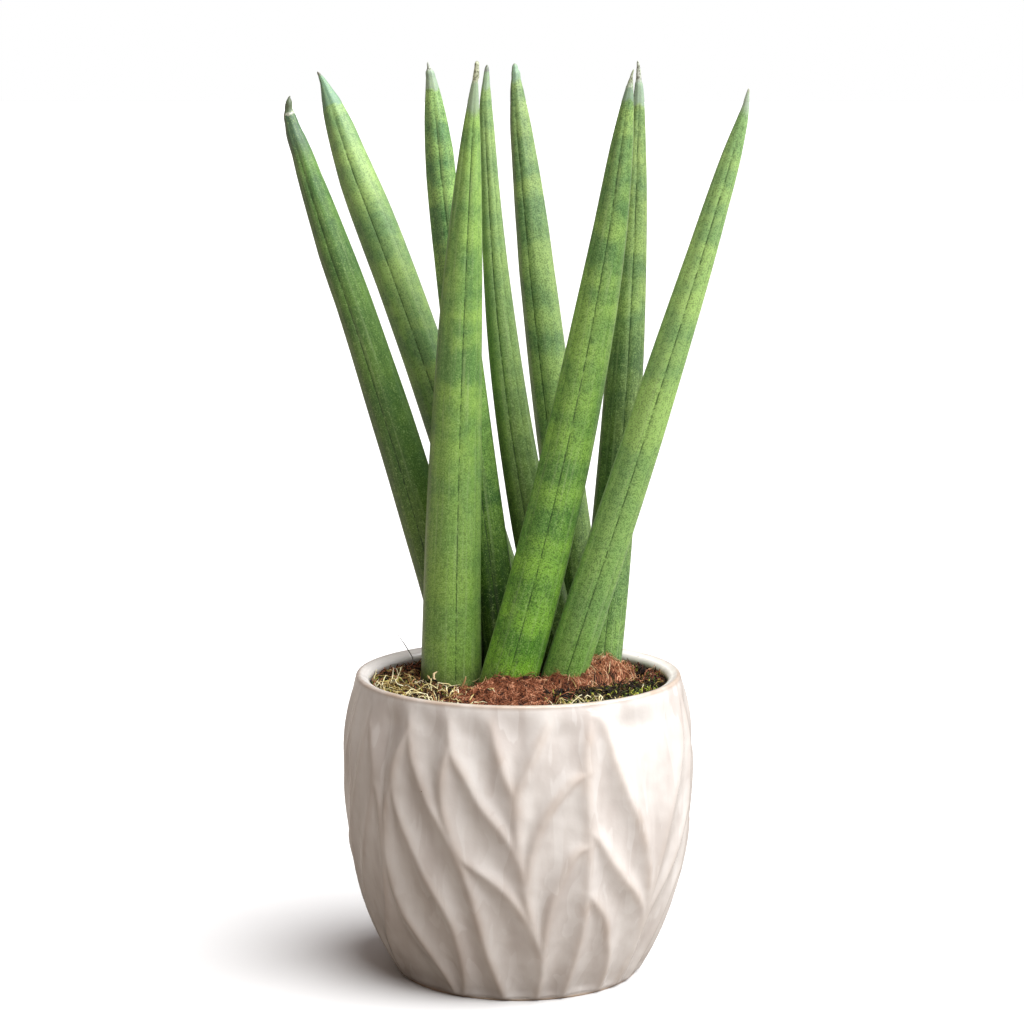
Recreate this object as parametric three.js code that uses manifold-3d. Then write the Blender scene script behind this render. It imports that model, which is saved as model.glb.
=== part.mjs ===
// A potted cylindrical snake plant. Round, tapered, grooved leaves stand in plain holes in the soil of a
// filled, glazed stoneware pot, whose wall carries a raised relief of long leaves. Two patches of moss and
// a mat of coir dress the soil. Millimetres, +Z up, origin on the ground under the pot's axis. The front is
// -Y, and a bearing is an angle in degrees seen from above, 0 at the front and 90 towards +X.
import * as THREE from "three";
import { mergeVertices } from "three/addons/utils/BufferGeometryUtils.js";
import Module from "manifold-3d";

const wasm = await Module();
wasm.setup();

// ---- Driving dimensions ----

const SEAT_GAP = 0.3; // clearance between pieces that rest on, or stand in, each other

const POT = {
  height: 116.5,
  bellyRadius: 67.5,
  bellyHeight: 85,
  footRadius: 47,
  rimRadius: 62,
  lowerBulge: 2.6, // exponent of the wall's curve from the belly down to the foot
  upperBulge: 2.15, // and of its curve from the belly up to the rim
  wall: 6,
  floor: 7,
  lipOuter: 1.2, // radius of the lip's outer corner
  lipInner: 2.6, // and of its inner one
  lipDrop: 0.7, // how far the lip slopes down from its outer to its inner corner
  lipFlat: 0.6, // level part of the lip inside the outer corner
  footRound: 1.5,
  columns: 140,
  rows: 23,
  cavitySides: 48,
};

const RELIEF = {
  depth: 3.4, // from a crest down to the hollow of a raised leaf
  reach: 10, // from a crest to where its flank has run out
  softness: 0.7, // rounding of a crest under the glaze
  flankCurve: 1.6, // exponent that hollows the flanks
  hollowRounding: 3, // exponent that blends the distances to several crests, and rounds the hollows' floors
  leastDistance: 0.01,
  lipFade: [104, 116], // heights over which the relief runs out below the lip
  footFade: 5, // height over which it comes up from the foot
  footShare: 0.5, // share of the depth that is left at the ground
  unrollRadius: 62, // mean radius, on which bearings are laid out as lengths
  curveSteps: 3, // between two points of a crest
};

// The relief is four panels side by side, each the mirror image of its neighbours. These are the crest
// lines of the front one, each as [bearing, height] points from its top to its foot. A line that starts or
// ends inside the panel does so on another one.
const PANEL_START = -49.5;
const PANEL_WIDTH = 101.5;
const PANEL_COUNT = 4;
const CRESTS = [
  [[-39.3, 116.5], [-38.4, 106], [-36, 95], [-30.2, 80], [-24.9, 70], [-19.6, 58.5], [-16.2, 46], [-13.6, 32],
    [-11, 18], [-6.2, 0]],
  [[-38.4, 105], [-41.8, 97.5], [-44.2, 89], [-43.6, 79.5], [-40.7, 70], [-36.3, 60], [-32.1, 50], [-27.1, 40],
    [-23.7, 31], [-22.3, 19.5], [-22.9, 9], [-25.8, 0]],
  [[-44.2, 84], [-47.2, 77], [-48.6, 66], [-48.8, 54], [-47, 42], [-44.2, 32.5], [-39.6, 24.5], [-34.3, 15],
    [-30.6, 6], [-29.6, 0]],
  [[-23, 100], [-24.8, 91], [-24.9, 80], [-22.9, 70], [-18.8, 59.5], [-12.7, 54.5], [-6, 48.5], [-0.4, 41],
    [4.6, 31.5], [8.2, 21.5], [9.4, 11.5], [8, 0]],
  [[-23.8, 116.5], [-23.2, 106], [-21.6, 98], [-17.1, 90], [-11.8, 79.5], [-4.6, 69], [-0.2, 60], [1.9, 51.5],
    [3, 41], [5.6, 29.5]],
  [[-10.4, 116.5], [-7.9, 105], [-4.6, 92], [-1.3, 82.5], [-0.5, 72], [-0.4, 60.5]],
  [[12.6, 114.5], [9.6, 109.5], [5.4, 100], [2, 91.5], [-0.4, 85], [-0.6, 76]],
  [[22.4, 91], [17.3, 88], [11.2, 80], [6.5, 70], [3.6, 59], [2.3, 48]],
  [[23.3, 63.5], [18.4, 60.5], [13.4, 49.5], [10.5, 38], [9.3, 27], [9, 18]],
  [[24.6, 114], [23.6, 105], [22.1, 96], [22.4, 84], [23.2, 70], [23.2, 60], [23.6, 48], [23.4, 34], [22.6, 20],
    [21.3, 8], [20.4, 0]],
  [[24.6, 111.5], [28.6, 110.5], [30.9, 103], [32.9, 93.5], [37.9, 80], [43.7, 67.5], [48.4, 52.5], [51.2, 40],
    [51.8, 28]],
  [[23.4, 69], [27.3, 64], [31.8, 56.5], [37.9, 48], [43.4, 42], [49, 34.5], [51.6, 27], [51.8, 16], [50.2, 0]],
  [[23.5, 45], [27.3, 40], [31.8, 33.5], [34.7, 24], [37.8, 15.5], [39.4, 6], [39.6, 0]],
];

const SOIL = { edge: 108, crown: 111, turnRadii: [40, 20, 0] }; // heights, and where its top turns

// Heights at which the pot's inner wall and the soil against it turn.
const BULB_HEIGHTS = [12, 36, 60, POT.bellyHeight];
const CORNER_RISE = BULB_HEIGHTS[0] - POT.floor;

// Leaves from left to right at their tips. foot is [x, y] at soil level, bow is how far the middle stands
// off the straight line to +X, and the diameter s mm below the tip is diameter * s / (s + taper).
const LEAVES = [
  { foot: [-20, 27], tip: [-90.5, 31, 333], bow: 2.7, diameter: 22, taper: 47 },
  { foot: [2.5, 34], tip: [-78, 54, 344.5], bow: 3, diameter: 20.5, taper: 21.5 },
  { foot: [-4.5, 16], tip: [-34, 19, 348.5], bow: -1, diameter: 17.5, taper: 25 },
  { foot: [-26, 6], tip: [-15.5, -12, 349], bow: -2, diameter: 34, taper: 107 },
  { foot: [18.5, 21], tip: [-12, 25, 347], bow: -7.5, diameter: 28, taper: 148 },
  { foot: [28.5, 37], tip: [-1.5, 58, 346.5], bow: -1.5, diameter: 20.5, taper: 39.5 },
  { foot: [-5, -4], tip: [42, -22, 346.5], bow: 5, diameter: 28.5, taper: 72.5 },
  { foot: [30.5, 8], tip: [45.5, 17, 349], bow: 2.5, diameter: 21.5, taper: 60 },
  { foot: [15.5, -4], tip: [83.5, -38, 338.5], bow: 1, diameter: 21.5, taper: 64 },
];
const LEAF = {
  soilHeight: 110, // where a leaf's foot is measured
  rootDepth: 26, // how far it goes on down in its hole
  rootShare: 0.75, // its thickness at the bottom of the hole
  stations: 8,
  holeSides: 12,
  holeShare: 0.08, // how far up the blade a hole's cutter follows it
  stationCurve: 1.5, // crowds the stations towards the tip
  grooves: 8,
  columnsPerGroove: 3,
  grooveDepth: 0.45,
  pointLength: 1.5, // the dry point past the last station
  pointRadius: 0.45,
};

// The mats that lie on the soil, each a patch between two bearings.
const MAT = {
  outerRadius: 57,
  step: 6, // degrees between its columns, which coir and right moss share so that their edges match
  across: 4,
  seam: 0.8,
  lumps: 0.5,
  edgeShare: 0.6, // thickness of a mat's edge, as a share of what it would be further in
  leastEdge: 1,
};
// The coir is heaped along a hump in front of the leaves, which moves out and grows towards the right. An
// apron of it runs down to the wall at the front only.
const COIR = {
  from: -44,
  to: 106,
  apronEnds: [12, 28],
  inside: 9, // from the hump in to the mat's inner edge
  outside: 8, // and out to its outer edge, past the apron
  outerShare: 0.4, // thickness left at the outer edge
};
const COIR_HUMP = [
  { bearing: -44, radius: 27, rise: 3.6 },
  { bearing: -25, radius: 17, rise: 6 },
  { bearing: 0, radius: 16, rise: 6 },
  { bearing: 22, radius: 16.5, rise: 4.6 },
  { bearing: 45, radius: 19, rise: 5.2 },
  { bearing: 60, radius: 22.5, rise: 8 },
  { bearing: 77, radius: 28, rise: 9.4 },
  { bearing: 90, radius: 35, rise: 10.6 },
  { bearing: 106, radius: 42, rise: 8 },
];
const MOSS = {
  thickness: 3.2,
  rightFrom: 16,
  rightTo: 154,
  leftTo: -168,
  leftInner: [22, 42], // inner radius of the left patch, near the coir and at the back
  leftWidens: [26, 120],
  backShare: 0.8,
  thinsOver: [60, 160],
  leastWidth: 2,
};

// ---- Materials ----

const MATERIALS = {
  glazedStoneware: new THREE.MeshStandardMaterial({ color: 0xd8ccc0, roughness: 0.22 }),
  leaf: new THREE.MeshStandardMaterial({ color: 0x5f8f3c, roughness: 0.45 }),
  pottingSoil: new THREE.MeshStandardMaterial({ color: 0x33241b, roughness: 1 }),
  coir: new THREE.MeshStandardMaterial({ color: 0x8e4d36, roughness: 1 }),
  moss: new THREE.MeshStandardMaterial({ color: 0x6d6a2c, roughness: 1 }),
};

// ---- Small tools ----

const { smoothstep, lerp, degToRad } = THREE.MathUtils;

function atBearing(bearing, radius, height) {
  const a = degToRad(bearing);
  return new THREE.Vector3(radius * Math.sin(a), -radius * Math.cos(a), height);
}

function geometryFrom(points, faces) {
  return new THREE.BufferGeometry().setFromPoints(points).setIndex(faces.flat());
}

// A closed skin over rings of points, counterclockwise from above and from the bottom up, with a pole at
// each end. Each quad is split along its higher diagonal, so that the edges follow the ridges.
function skinOver(rings, bottomPole, topPole) {
  const columns = rings[0].length;
  const points = [...rings.flat(), bottomPole, topPole];
  const faces = [];
  const bottom = points.length - 2;
  const top = points.length - 1;
  const reach = (i) => Math.hypot(points[i].x, points[i].y);
  for (let j = 0; j < columns; j++) {
    const next = (j + 1) % columns;
    faces.push([bottom, next, j]);
    const last = (rings.length - 1) * columns;
    faces.push([last + j, last + next, top]);
    for (let i = 0; i + 1 < rings.length; i++) {
      const a = i * columns + j;
      const b = i * columns + next;
      const c = b + columns;
      const d = a + columns;
      if (reach(a) + reach(c) > reach(b) + reach(d)) faces.push([a, b, c], [a, c, d]);
      else faces.push([a, b, d], [b, c, d]);
    }
  }
  return geometryFrom(points, faces);
}

// A closed slab between a top and a bottom grid of points with the same rows and columns.
function slabBetween(topRows, bottomRows) {
  const rows = topRows.length;
  const columns = topRows[0].length;
  const points = [...topRows.flat(), ...bottomRows.flat()];
  const under = rows * columns;
  const at = (i, j) => i * columns + j;
  const faces = [];
  const rim = [];
  for (let i = 0; i + 1 < rows; i++)
    for (let j = 0; j + 1 < columns; j++) {
      const [a, b, c, d] = [at(i, j), at(i + 1, j), at(i + 1, j + 1), at(i, j + 1)];
      faces.push([a, b, c], [a, c, d], [under + a, under + c, under + b], [under + a, under + d, under + c]);
    }
  for (let i = 0; i + 1 < rows; i++) rim.push(at(i, 0));
  for (let j = 0; j + 1 < columns; j++) rim.push(at(rows - 1, j));
  for (let i = rows - 1; i > 0; i--) rim.push(at(i, columns - 1));
  for (let j = columns - 1; j > 0; j--) rim.push(at(0, j));
  rim.forEach((a, k) => {
    const b = rim[(k + 1) % rim.length];
    faces.push([b, a, under + a], [b, under + a, under + b]);
  });
  return geometryFrom(points, faces);
}

// A body of revolution about the pot's axis, from [radius, height] points that start and end on the axis.
function turned(profile, sides) {
  const points = profile.map(([radius, height]) => new THREE.Vector2(radius, height));
  return new THREE.LatheGeometry(points, sides).rotateX(Math.PI / 2);
}

function solidOf(geometry) {
  geometry.deleteAttribute("normal");
  geometry.deleteAttribute("uv");
  const merged = mergeVertices(geometry, 1e-4);
  const vertProperties = new Float32Array(merged.attributes.position.array);
  const triVerts = new Uint32Array(merged.index.array);
  return new wasm.Manifold(new wasm.Mesh({ numProp: 3, vertProperties, triVerts }));
}

function meshOf(name, solid, material) {
  const { vertProperties, triVerts } = solid.getMesh();
  const geometry = new THREE.BufferGeometry();
  geometry.setAttribute("position", new THREE.BufferAttribute(vertProperties, 3));
  geometry.setIndex(new THREE.BufferAttribute(triVerts, 1));
  geometry.computeVertexNormals();
  const mesh = new THREE.Mesh(geometry, material);
  mesh.name = name;
  return mesh;
}

function biggestBody(solid) {
  return solid.decompose().sort((a, b) => b.volume() - a.volume())[0];
}

// ---- Pot ----

// The pot's outer radius over the crests of its relief.
function wallRadius(height) {
  const below = height < POT.bellyHeight;
  const end = below ? POT.footRadius : POT.rimRadius;
  const span = below ? POT.bellyHeight : POT.height - POT.bellyHeight;
  const share = Math.abs(height - POT.bellyHeight) / span;
  const bulge = below ? POT.lowerBulge : POT.upperBulge;
  return POT.bellyRadius - (POT.bellyRadius - end) * share ** bulge;
}

const innerRadius = (height) => wallRadius(height) - POT.wall;

// The crests as smooth chains of points on the unrolled wall.
const CREST_CHAINS = CRESTS.map((crest) =>
  new THREE.SplineCurve(crest.map(([bearing, height]) => new THREE.Vector2(bearing, height)))
    .getPoints((crest.length - 1) * RELIEF.curveSteps)
    .map(({ x, y }) => new THREE.Vector2(degToRad(x) * RELIEF.unrollRadius, y)),
);

// A bearing anywhere round the pot, as the bearing in the front panel that looks the same. The front
// panel keeps its full width, and the others share what is left of the circle.
function foldIntoPanel(bearing) {
  const fromStart = (((bearing - PANEL_START) % 360) + 360) % 360;
  if (fromStart <= PANEL_WIDTH) return PANEL_START + fromStart;
  const otherWidth = (360 - PANEL_WIDTH) / (PANEL_COUNT - 1);
  const past = (fromStart - PANEL_WIDTH) / otherWidth;
  const share = past % 1;
  const mirrored = Math.floor(past) % 2 === 0;
  return PANEL_START + PANEL_WIDTH * (mirrored ? 1 - share : share);
}

function distanceToSegment(p, a, b) {
  const along = b.clone().sub(a);
  const share = THREE.MathUtils.clamp(p.clone().sub(a).dot(along) / along.lengthSq(), 0, 1);
  return p.distanceTo(along.multiplyScalar(share).add(a));
}

// How far the wall lies below its crests at a bearing and a height.
function reliefDepth(bearing, height) {
  const p = new THREE.Vector2(degToRad(foldIntoPanel(bearing)) * RELIEF.unrollRadius, height);
  let closeness = 0;
  for (const chain of CREST_CHAINS) {
    let nearest = Infinity;
    for (let i = 0; i + 1 < chain.length; i++)
      nearest = Math.min(nearest, distanceToSegment(p, chain[i], chain[i + 1]));
    closeness += Math.max(nearest, RELIEF.leastDistance) ** -RELIEF.hollowRounding;
  }
  const distance = closeness ** (-1 / RELIEF.hollowRounding);
  const away = Math.hypot(distance, RELIEF.softness) - RELIEF.softness;
  const hollow = 1 - Math.max(0, 1 - away / RELIEF.reach) ** RELIEF.flankCurve;
  const lipShare = 1 - smoothstep(height, ...RELIEF.lipFade);
  const footShare = lerp(RELIEF.footShare, 1, smoothstep(height, 0, RELIEF.footFade));
  return RELIEF.depth * hollow * lipShare * footShare;
}

function potSolid() {
  const outerCorner = POT.height - POT.lipOuter;
  const outerTop = wallRadius(outerCorner) - POT.lipOuter;
  const innerCorner = POT.height - POT.lipDrop - POT.lipInner;
  const innerTop = innerRadius(innerCorner) + POT.lipInner;
  const bearings = Array.from({ length: POT.columns }, (_, j) => (360 * j) / POT.columns);
  const ringAt = (height, radiusAt) => bearings.map((b) => atBearing(b, radiusAt(b), height));

  const rings = [ringAt(0, () => POT.footRadius - POT.footRound)];
  for (let i = 0; i <= POT.rows; i++) {
    const height = lerp(POT.footRound, outerCorner, i / POT.rows);
    rings.push(ringAt(height, (b) => wallRadius(height) - reliefDepth(b, height)));
  }
  const lipTurns = [45, 90].map(degToRad);
  for (const turn of lipTurns)
    rings.push(ringAt(outerCorner + POT.lipOuter * Math.sin(turn), () => outerTop + POT.lipOuter * Math.cos(turn)));
  const body = skinOver(rings, new THREE.Vector3(), new THREE.Vector3(0, 0, POT.height));

  const cavity = [[0, POT.floor], [innerRadius(POT.floor) - CORNER_RISE, POT.floor]];
  for (const height of [...BULB_HEIGHTS, SOIL.edge, innerCorner]) cavity.push([innerRadius(height), height]);
  for (const turn of lipTurns)
    cavity.push([innerTop - POT.lipInner * Math.cos(turn), innerCorner + POT.lipInner * Math.sin(turn)]);
  const mouth = outerTop - POT.lipFlat;
  const above = POT.height + POT.wall;
  cavity.push([mouth, POT.height], [mouth, above], [0, above]);
  return solidOf(body).subtract(solidOf(turned(cavity, POT.cavitySides)));
}

// ---- Leaves ----

function leafCurve({ foot, tip, bow }) {
  const start = new THREE.Vector3(foot[0], foot[1], LEAF.soilHeight);
  const end = new THREE.Vector3(...tip);
  const middle = start.clone().lerp(end, 0.5);
  middle.x += 2 * bow;
  return new THREE.QuadraticBezierCurve3(start, middle, end);
}

// A ring round a leaf, square to its direction. radiusAt gives the radius at each column.
function ringRound(centre, direction, columns, radiusAt) {
  const right = new THREE.Vector3(0, 1, 0).cross(direction).normalize();
  const back = direction.clone().cross(right);
  return Array.from({ length: columns }, (_, j) => {
    const turn = (2 * Math.PI * j) / columns;
    return centre
      .clone()
      .addScaledVector(right, radiusAt(j) * Math.sin(turn))
      .addScaledVector(back, -radiusAt(j) * Math.cos(turn));
  });
}

// A leaf's sections from the bottom of its hole up, each with its centre, direction and radius. The blade's
// shares of its length above the soil are given.
function leafSections(leaf, shares) {
  const curve = leafCurve(leaf);
  const length = curve.getLength();
  const radiusAt = (below) => Math.max(LEAF.pointRadius, ((leaf.diameter / 2) * below) / (below + leaf.taper));
  const up = new THREE.Vector3(0, 0, 1);
  const sunk = (depth) => curve.getPoint(0).sub(up.clone().multiplyScalar(depth));
  return [
    { centre: sunk(LEAF.rootDepth), direction: up, radius: radiusAt(length) * LEAF.rootShare },
    { centre: sunk(LEAF.rootDepth / 3), direction: up, radius: radiusAt(length) },
    ...shares.map((t) => ({
      centre: curve.getPoint(t),
      direction: curve.getTangent(t),
      radius: radiusAt(length * (1 - t)),
    })),
  ];
}

function leafSolid(leaf) {
  const tip = new THREE.Vector3(...leaf.tip);
  const blade = 1 - LEAF.pointLength / leafCurve(leaf).getLength();
  const shares = Array.from(
    { length: LEAF.stations + 1 },
    (_, i) => blade * (1 - (1 - i / LEAF.stations) ** LEAF.stationCurve),
  );
  const sections = leafSections(leaf, shares);
  const rings = sections.map(({ centre, direction, radius }) => {
    const groove = Math.min(LEAF.grooveDepth, radius / 10);
    const radiusAt = (column) => radius - (column % LEAF.columnsPerGroove ? 0 : groove);
    return ringRound(centre, direction, LEAF.grooves * LEAF.columnsPerGroove, radiusAt);
  });
  return solidOf(skinOver(rings, sections[0].centre, tip));
}

// The plain hole that a leaf stands in, drawn on up through whatever lies on the soil round its foot.
function holeSolid(leaf) {
  const outside = 1 / Math.cos(Math.PI / LEAF.holeSides);
  const sections = leafSections(leaf, [0, LEAF.holeShare]);
  sections[0].centre.z -= SEAT_GAP;
  const rings = sections.map(({ centre, direction, radius }) =>
    ringRound(centre, direction, LEAF.holeSides, () => (radius + SEAT_GAP) * outside),
  );
  return solidOf(skinOver(rings, sections[0].centre, sections.at(-1).centre));
}

// ---- Soil and its dressing ----

const soilHeightAt = (radius) => lerp(SOIL.crown, SOIL.edge, (radius / innerRadius(SOIL.edge)) ** 2);

function soilSolid() {
  const bottom = POT.floor + SEAT_GAP;
  const profile = [[0, bottom], [innerRadius(POT.floor) - CORNER_RISE - SEAT_GAP, bottom]];
  for (const height of [...BULB_HEIGHTS, SOIL.edge]) profile.push([innerRadius(height) - SEAT_GAP, height]);
  for (const radius of SOIL.turnRadii) profile.push([radius, soilHeightAt(radius)]);
  return solidOf(turned(profile, POT.cavitySides));
}

// A gentle unevenness, between -1 and 1, for the tops of the mats.
const lumpsAt = (x, y) => 0.6 * Math.sin(x / 2.3 + 1) * Math.sin(y / 2.7) + 0.4 * Math.sin((x - y) / 1.9);

// A mat on the soil between two bearings. inner and outer give its edges at a bearing, and rise gives its
// thickness at a bearing and a radius.
function matSolid({ from, to, inner, outer, rise }) {
  const top = [];
  const bottom = [];
  const columns = Math.round(Math.abs(to - from) / MAT.step);
  for (let j = 0; j <= MAT.across; j++) {
    const rows = [[], []];
    for (let i = 0; i <= columns; i++) {
      const bearing = lerp(from, to, i / columns);
      const radius = lerp(inner(bearing), outer(bearing), j / MAT.across);
      const under = atBearing(bearing, radius, soilHeightAt(radius) + SEAT_GAP);
      const onEdge = i === 0 || i === columns || j === 0 || j === MAT.across;
      const full = rise(bearing, radius) + MAT.lumps * lumpsAt(under.x, under.y);
      const thickness = onEdge ? MAT.edgeShare * full : full;
      rows[0].push(under.clone().setZ(under.z + Math.max(MAT.leastEdge, thickness)));
      rows[1].push(under);
    }
    top.push(rows[0]);
    bottom.push(rows[1]);
  }
  const clockwise = to < from;
  return solidOf(clockwise ? slabBetween(top.reverse(), bottom.reverse()) : slabBetween(top, bottom));
}

// The radius or the rise of the coir's hump at a bearing.
function coirHump(bearing, key) {
  const next = Math.max(1, COIR_HUMP.findIndex((at) => at.bearing >= bearing));
  const [a, b] = [COIR_HUMP[next - 1], COIR_HUMP[next]];
  return lerp(a[key], b[key], (bearing - a.bearing) / (b.bearing - a.bearing));
}

const coirOuter = (bearing) =>
  lerp(MAT.outerRadius, coirHump(bearing, "radius") + COIR.outside, smoothstep(bearing, ...COIR.apronEnds));

function coirRise(bearing, radius) {
  const hump = coirHump(bearing, "radius");
  const outwards = Math.max(0, (radius - hump) / (coirOuter(bearing) - hump));
  return coirHump(bearing, "rise") * lerp(1, COIR.outerShare, outwards);
}

const COIR_MAT = {
  from: COIR.from,
  to: COIR.to,
  inner: (bearing) => coirHump(bearing, "radius") - COIR.inside,
  outer: coirOuter,
  rise: coirRise,
};
const MOSS_RIGHT = {
  from: MOSS.rightFrom,
  to: MOSS.rightTo,
  inner: (bearing) =>
    Math.min(coirOuter(Math.min(bearing, COIR.to)) + MAT.seam, MAT.outerRadius - MOSS.leastWidth),
  outer: () => MAT.outerRadius,
  rise: () => MOSS.thickness,
};
const MOSS_LEFT = {
  from: COIR.from - MAT.seam,
  to: MOSS.leftTo,
  inner: (bearing) => lerp(...MOSS.leftInner, smoothstep(-bearing, ...MOSS.leftWidens)),
  outer: () => MAT.outerRadius,
  rise: (bearing) => MOSS.thickness * lerp(1, MOSS.backShare, smoothstep(-bearing, ...MOSS.thinsOver)),
};

// ---- The plant in its pot ----

const holes = LEAVES.map(holeSolid);
const clearOfLeaves = (solid) => biggestBody(holes.reduce((rest, hole) => rest.subtract(hole), solid));

const plant = new THREE.Group();
plant.add(meshOf("pot", potSolid(), MATERIALS.glazedStoneware));
plant.add(meshOf("soil", clearOfLeaves(soilSolid()), MATERIALS.pottingSoil));
plant.add(meshOf("coir_mat", clearOfLeaves(matSolid(COIR_MAT)), MATERIALS.coir));
plant.add(meshOf("moss_left", clearOfLeaves(matSolid(MOSS_LEFT)), MATERIALS.moss));
plant.add(meshOf("moss_right", clearOfLeaves(matSolid(MOSS_RIGHT)), MATERIALS.moss));
LEAVES.forEach((leaf, i) => plant.add(meshOf(`leaf_${i + 1}`, leafSolid(leaf), MATERIALS.leaf)));

export default plant;
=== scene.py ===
"""A cylindrical snake plant in a glazed stoneware pot with a raised relief of long leaves.

Every piece is in metres, in the frame of the solids: the origin is on the ground under the pot's axis, the
front is -Y, and a bearing is an angle in degrees seen from above, 0 at the front and 90 towards +X. The
pieces repeat the formulas of the solids that they stand for, in finer steps, with two differences: the
hollows of the relief are shallower at the pot's left and right, and each leaf's outline is corrected by a
millimetre or so, and its point by up to four.
"""

import math

import bmesh
import bpy
import numpy as np
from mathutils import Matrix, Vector


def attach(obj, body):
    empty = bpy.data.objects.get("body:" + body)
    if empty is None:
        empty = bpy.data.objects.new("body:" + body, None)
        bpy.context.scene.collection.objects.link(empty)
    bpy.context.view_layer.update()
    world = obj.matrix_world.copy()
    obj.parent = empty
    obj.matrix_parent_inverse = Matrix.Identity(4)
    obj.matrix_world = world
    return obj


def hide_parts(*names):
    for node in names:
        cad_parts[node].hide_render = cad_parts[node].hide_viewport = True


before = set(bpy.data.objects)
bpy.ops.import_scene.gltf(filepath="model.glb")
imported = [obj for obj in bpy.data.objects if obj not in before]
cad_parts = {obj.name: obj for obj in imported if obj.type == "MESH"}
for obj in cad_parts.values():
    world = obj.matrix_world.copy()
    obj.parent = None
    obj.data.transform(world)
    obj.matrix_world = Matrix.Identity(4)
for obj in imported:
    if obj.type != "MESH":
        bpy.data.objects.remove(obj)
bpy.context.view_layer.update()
bpy.ops.object.select_all(action="DESELECT")

MM = 0.001
rng = np.random.default_rng(20)

# ---- Dimensions of the solids, in millimetres ----

POT_HEIGHT = 116.5
BELLY_RADIUS, BELLY_HEIGHT = 67.5, 85
FOOT_RADIUS, RIM_RADIUS = 47, 62
LOWER_BULGE, UPPER_BULGE = 2.6, 2.15
WALL, FLOOR = 6, 7
LIP_OUTER, LIP_INNER, LIP_DROP, LIP_FLAT = 1.2, 2.6, 0.7, 0.6
FOOT_ROUND, FLOOR_CORNER = 1.5, 5
# Heights of the points on the pot's inside, and of the soil's side that lies along it.
INSIDE_ROWS = (12, 36, 60, 85, 100)
# How thin the glaze is on the lip and on the crests of the relief.
WORN_LIP, WORN_CRESTS = 0.9, 0.36

RELIEF_DEPTH, RELIEF_REACH, CREST_SOFTNESS, FLANK_CURVE = 3.4, 10, 0.7, 1.6
HOLLOW_ROUNDING = 3
LIP_FADE = (104, 116)
FOOT_FADE, FOOT_SHARE = 5, 0.5
# Between these bearings to either side the glaze lies thicker, and drowns this share of the relief.
DROWNED_FROM, DROWNED_TO, DROWNED_SHARE = (44, 60), (120, 136), 0.5
UNROLL_RADIUS = 62
PANEL_START, PANEL_WIDTH, PANEL_COUNT = -49.5, 101.5, 4
CREST_STEPS = 5

# Crest lines of the relief's front panel, each as (bearing, height) points from its top to its foot. A line
# that starts or ends inside the panel does so on another one.
CRESTS = (
    ((-39.3, 116.5), (-38.4, 106), (-36, 95), (-30.2, 80), (-24.9, 70), (-19.6, 58.5), (-16.2, 46), (-13.6, 32),
     (-11, 18), (-6.2, 0)),
    ((-38.4, 105), (-41.8, 97.5), (-44.2, 89), (-43.6, 79.5), (-40.7, 70), (-36.3, 60), (-32.1, 50), (-27.1, 40),
     (-23.7, 31), (-22.3, 19.5), (-22.9, 9), (-25.8, 0)),
    ((-44.2, 84), (-47.2, 77), (-48.6, 66), (-48.8, 54), (-47, 42), (-44.2, 32.5), (-39.6, 24.5), (-34.3, 15),
     (-30.6, 6), (-29.6, 0)),
    ((-23, 100), (-24.8, 91), (-24.9, 80), (-22.9, 70), (-18.8, 59.5), (-12.7, 54.5), (-6, 48.5), (-0.4, 41),
     (4.6, 31.5), (8.2, 21.5), (9.4, 11.5), (8, 0)),
    ((-23.8, 116.5), (-23.2, 106), (-21.6, 98), (-17.1, 90), (-11.8, 79.5), (-4.6, 69), (-0.2, 60), (1.9, 51.5),
     (3, 41), (5.6, 29.5)),
    ((-10.4, 116.5), (-7.9, 105), (-4.6, 92), (-1.3, 82.5), (-0.5, 72), (-0.4, 60.5)),
    ((12.6, 114.5), (9.6, 109.5), (5.4, 100), (2, 91.5), (-0.4, 85), (-0.6, 76)),
    ((22.4, 91), (17.3, 88), (11.2, 80), (6.5, 70), (3.6, 59), (2.3, 48)),
    ((23.3, 63.5), (18.4, 60.5), (13.4, 49.5), (10.5, 38), (9.3, 27), (9, 18)),
    ((24.6, 114), (23.6, 105), (22.1, 96), (22.4, 84), (23.2, 70), (23.2, 60), (23.6, 48), (23.4, 34), (22.6, 20),
     (21.3, 8), (20.4, 0)),
    ((24.6, 111.5), (28.6, 110.5), (30.9, 103), (32.9, 93.5), (37.9, 80), (43.7, 67.5), (48.4, 52.5), (51.2, 40),
     (51.8, 28)),
    ((23.4, 69), (27.3, 64), (31.8, 56.5), (37.9, 48), (43.4, 42), (49, 34.5), (51.6, 27), (51.8, 16), (50.2, 0)),
    ((23.5, 45), (27.3, 40), (31.8, 33.5), (34.7, 24), (37.8, 15.5), (39.4, 6), (39.6, 0)),
)

SOIL_EDGE, SOIL_CROWN = 108, 111
LEAF_SOIL_HEIGHT, ROOT_DEPTH, ROOT_SHARE = 110, 26, 0.75
MAT_OUTER = 57
FIT_GAP = 0.3

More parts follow.
